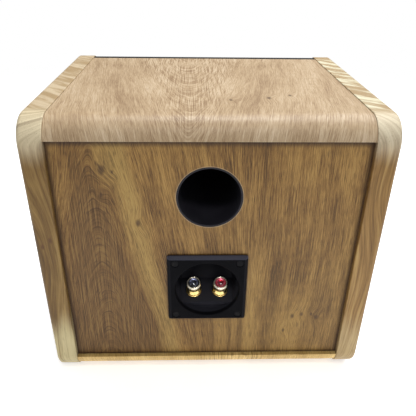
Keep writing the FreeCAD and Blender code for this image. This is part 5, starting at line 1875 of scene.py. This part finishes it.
@dataclass
class Grille:
    """The pull-off front: frame, stretched cloth, pegs and their sockets."""

    corner: float = 24.0
    arc_front: float = -116.5
    inset: float = 0.25
    cloth: float = 0.5
    back_gap: float = 0.2
    side_round: float = 1.2
    across: int = 60

    def section(self, low: Vector, high: Vector) -> list[Flat]:
        """The cloth's line from the bottom round the front to the top, as (y, z).

        Args:
            low: The node's lowest corner.
            high: The node's highest corner.

        Returns:
            The line.
        """
        radius = self.corner - self.inset
        reach = math.acos((self.arc_front - high.y + self.back_gap) / radius)
        steps = 18
        lower = low.z + self.arc_drop(high.y) + self.corner
        bottom = [
            (
                self.arc_front - radius * math.cos(reach * (1 - i / steps)),
                lower - radius * math.sin(reach * (1 - i / steps)),
            )
            for i in range(steps + 1)
        ]
        upper = high.z - self.arc_drop(high.y) - self.corner
        rise = [(self.arc_front - radius, lower + (upper - lower) * i / 40) for i in range(1, 40)]
        top = [
            (self.arc_front - radius * math.cos(reach * i / steps), upper + radius * math.sin(reach * i / steps))
            for i in range(steps + 1)
        ]
        return bottom + rise + top

    def arc_drop(self, y: float) -> float:
        """The shift, zero or less, from the corner's crown to the cloth's edge at this depth."""
        return -(self.corner - math.sqrt(max(0.0, self.corner**2 - (y - self.arc_front) ** 2)))

    def build(self) -> None:
        """Makes the cloth and dresses the rest."""
        low, high = box("grille_cloth")
        line = self.section(low, high)
        half = (high.x - low.x) / 2 - self.inset
        rows = []
        back = high.y - self.back_gap
        for side in (-1, 1):
            folds = []
            for t in (0.0, 0.25, 0.5, 0.75, 0.93):
                folds.append([
                    Vector((side * half, back + (min(y + self.side_round, back) - back) * t, z)) for y, z in line
                ])
            turn = self.side_round * 0.3
            folds.append([Vector((side * (half - turn), min(y + turn, back), z)) for y, z in line])
            rows.append(folds)
        front = []
        flat = half - self.side_round
        for i in range(self.across + 1):
            x = -flat + 2 * flat * i / self.across
            front.append([Vector((x, y, z)) for y, z in line])
        rings = rows[0] + front + list(reversed(rows[1]))
        skin = Stock().loft(rings, wrap=False, caps=False)
        cloth = skin.piece("grille_speaker_cloth", SPEAKER_CLOTH, crease=math.radians(60))
        weld(cloth)
        thick = cloth.modifiers.new("thickness", "SOLIDIFY")
        thick.thickness = self.cloth * MM
        thick.offset = -1.0
        fit(cloth, "grille", "grille_cloth")
        dress(BLACK_BOARD, "grille_frame")
        dress(PEG_PLASTIC, "grille_pegs", "peg_sockets")


@dataclass
class Network:
    """The low-pass network: board, air-core coil, film capacitor and leads."""

    turns: int = 16
    core: float = 9.0
    can_edge: float = 1.4
    head: float = 3.6

    def winding(self) -> None:
        """The coil's outer layer of wire."""
        low, high = box("inductor_winding")
        centre = (low + high) / 2
        tall = high.z - low.z
        outer = (high.x - low.x) / 2
        pitch = tall / self.turns
        outline: list[Flat] = [(self.core, tall), (self.core, 0.0)]
        for i in range(self.turns):
            for share in (0.1, 0.3, 0.5, 0.7, 0.9):
                bulge = math.sqrt(1 - (2 * share - 1) ** 2)
                outline.append((outer - pitch * 0.5 * (1 - bulge), pitch * (i + share)))
        place = Matrix.Translation(Vector((centre.x, centre.y, low.z)) * MM)
        fit(Stock().turn(outline, 96).piece("inductor_wire", COPPER, place), "root", "inductor_winding")

    def can(self) -> None:
        """The film capacitor: wrapped body with dished epoxy ends."""
        low, high = box("capacitor")
        centre = (low + high) / 2
        radius = (high.z - low.z) / 2
        length = high.x - low.x
        edge = self.can_edge
        outline = [(0.0, 0.6), (radius - 1.6, 0.6), (radius - edge, 0.0)]
        outline += [
            (radius, edge), (radius, length - edge), (radius - edge, length),
            (radius - 1.6, length - 0.6), (0.0, length - 0.6),
        ]
        shape = soften(outline, 0.7, closed=False)
        place = stand((low.x, centre.y, centre.z), (1, 0, 0))
        fit(Stock().turn(shape, 72).piece("film_capacitor", FILM, place), "root", "capacitor")

    def build(self) -> None:
        """Makes and dresses the network and its leads."""
        self.winding()
        self.can()
        dress(NYLON, "inductor_bobbin", "crossover_standoffs")
        dress(LAMINATE, "crossover_board")
        low, high = box("crossover_screws")
        spots = [
            Vector((x, y, high.z)) for x in (low.x + self.head, high.x - self.head)
            for y in (low.y + self.head, high.y - self.head)
        ]
        ScrewSet("crossover_screws", ZINC_SCREW, spots, Vector((0, 0, 1)), high.z - low.z).build()
        dress(BLACK_LEAD, "wire_terminal_black", "wire_woofer_black")
        dress(RED_LEAD, "wire_terminal_red", "wire_woofer_red")


@dataclass
class Studio:
    """Pale floor, soft lights and the camera behind and above the part."""

    eye: tuple[float, float, float] = (15.2, 518.2, 420.8)
    yaw: float = 0.0345
    pitch: float = 0.5041
    roll: float = 0.0147
    lens: float = 40.85
    sensor: float = 36.0
    floor: float = 9000.0
    rise: float = 2500.0

    def backdrop(self) -> None:
        """A round floor that curves up far away."""
        sweep_line = (
            (600.0, -0.4), (2000.0, -0.4), (5000.0, -0.4), (7500.0, 60.0), (8600.0, 700.0), (self.floor, self.rise),
        )
        rings = [circle_ring(r, h, ROUND) for r, h in sweep_line]
        sweep = Stock().loft(list(reversed(rings)), caps=False)
        sweep.faces.append(tuple(len(sweep.points) - ROUND + k for k in range(ROUND)))
        made = sweep.piece("studio_floor", StudioFloor("studio paper"), crease=math.radians(80))

    def lamp(self, name: str, at: Iterable[float], aim: Iterable[float], size: Flat, watts: float) -> None:
        """A soft rectangular light.

        Args:
            name: The lamp's name.
            at: Where it stands, in millimetres.
            aim: What it points at, in millimetres.
            size: Its width and height in millimetres.
            watts: Its power.
        """
        light = bpy.data.lights.new(name, "AREA")
        light.shape = "RECTANGLE"
        light.size, light.size_y = size[0] * MM, size[1] * MM
        light.energy = watts
        lamp = bpy.data.objects.new(name, light)
        bpy.context.scene.collection.objects.link(lamp)
        lamp.location = Vector(at) * MM
        lamp.rotation_euler = (Vector(aim) - Vector(at)).to_track_quat("-Z", "Y").to_euler()

    def world(self, glow: float, seen: float) -> None:
        """A pale surround that lights less than it shows.

        Args:
            glow: The light that the surround gives.
            seen: The brightness it shows.
        """
        world = bpy.data.worlds.new("studio air")
        bpy.context.scene.world = world
        world.use_nodes = True
        tree = world.node_tree
        tree.nodes.clear()
        output = tree.nodes.new("ShaderNodeOutputWorld")
        mix = tree.nodes.new("ShaderNodeMixShader")
        path = tree.nodes.new("ShaderNodeLightPath")
        for slot, strength in ((1, glow), (2, seen)):
            air = tree.nodes.new("ShaderNodeBackground")
            air.inputs["Color"].default_value = (1.0, 1.0, 1.0, 1.0)
            air.inputs["Strength"].default_value = strength
            tree.links.new(air.outputs[0], mix.inputs[slot])
        tree.links.new(path.outputs["Is Camera Ray"], mix.inputs[0])
        tree.links.new(mix.outputs[0], output.inputs[0])

    def camera(self) -> None:
        """The camera, looking down on the back."""
        data = bpy.data.cameras.new("camera")
        data.lens = self.lens
        data.sensor_width = self.sensor
        data.clip_start, data.clip_end = 0.01, 60.0
        eye = bpy.data.objects.new("camera", data)
        bpy.context.scene.collection.objects.link(eye)
        turn = (
            Matrix.Rotation(math.pi - self.yaw, 4, "Z")
            @ Matrix.Rotation(math.pi / 2 - self.pitch, 4, "X")
            @ Matrix.Rotation(self.roll, 4, "Z")
        )
        eye.matrix_world = Matrix.Translation(Vector(self.eye) * MM) @ turn
        bpy.context.scene.camera = eye

    def build(self) -> None:
        """Sets up the studio."""
        self.backdrop()
        self.world(0.30, 1.0)
        self.lamp("key", (-650, -450, 1500), (0, 0, 200), (1300, 1100), 18)
        self.lamp("top", (-60, -330, 1750), (0, 0, 150), (520, 480), 15)
        self.lamp("back_fill", (-500, 1900, 900), (0, 100, 150), (1400, 1200), 3.5)
        self.lamp("back_spark", (-120, 1150, 1750), (0, 130, 120), (420, 380), 9)
        bpy.context.scene.view_settings.view_transform = "Standard"
        LOG.info("studio ready")


def main() -> None:
    """Builds the studio and the sub-assemblies in order."""
    logging.basicConfig(level=logging.INFO, format="%(message)s")
    studio = Studio()
    studio.camera()
    studio.build()
    port = Port()
    Cabinet().build(port)
    port.build()
    TerminalCup().build()
    for post in (BindingPost("black", BLACK_JEWEL), BindingPost("red", RED_JEWEL)):
        post.build()
    Woofer().build()
    Grille().build()
    Network().build()
    bpy.context.view_layer.update()


if __name__ == "__main__":
    main()
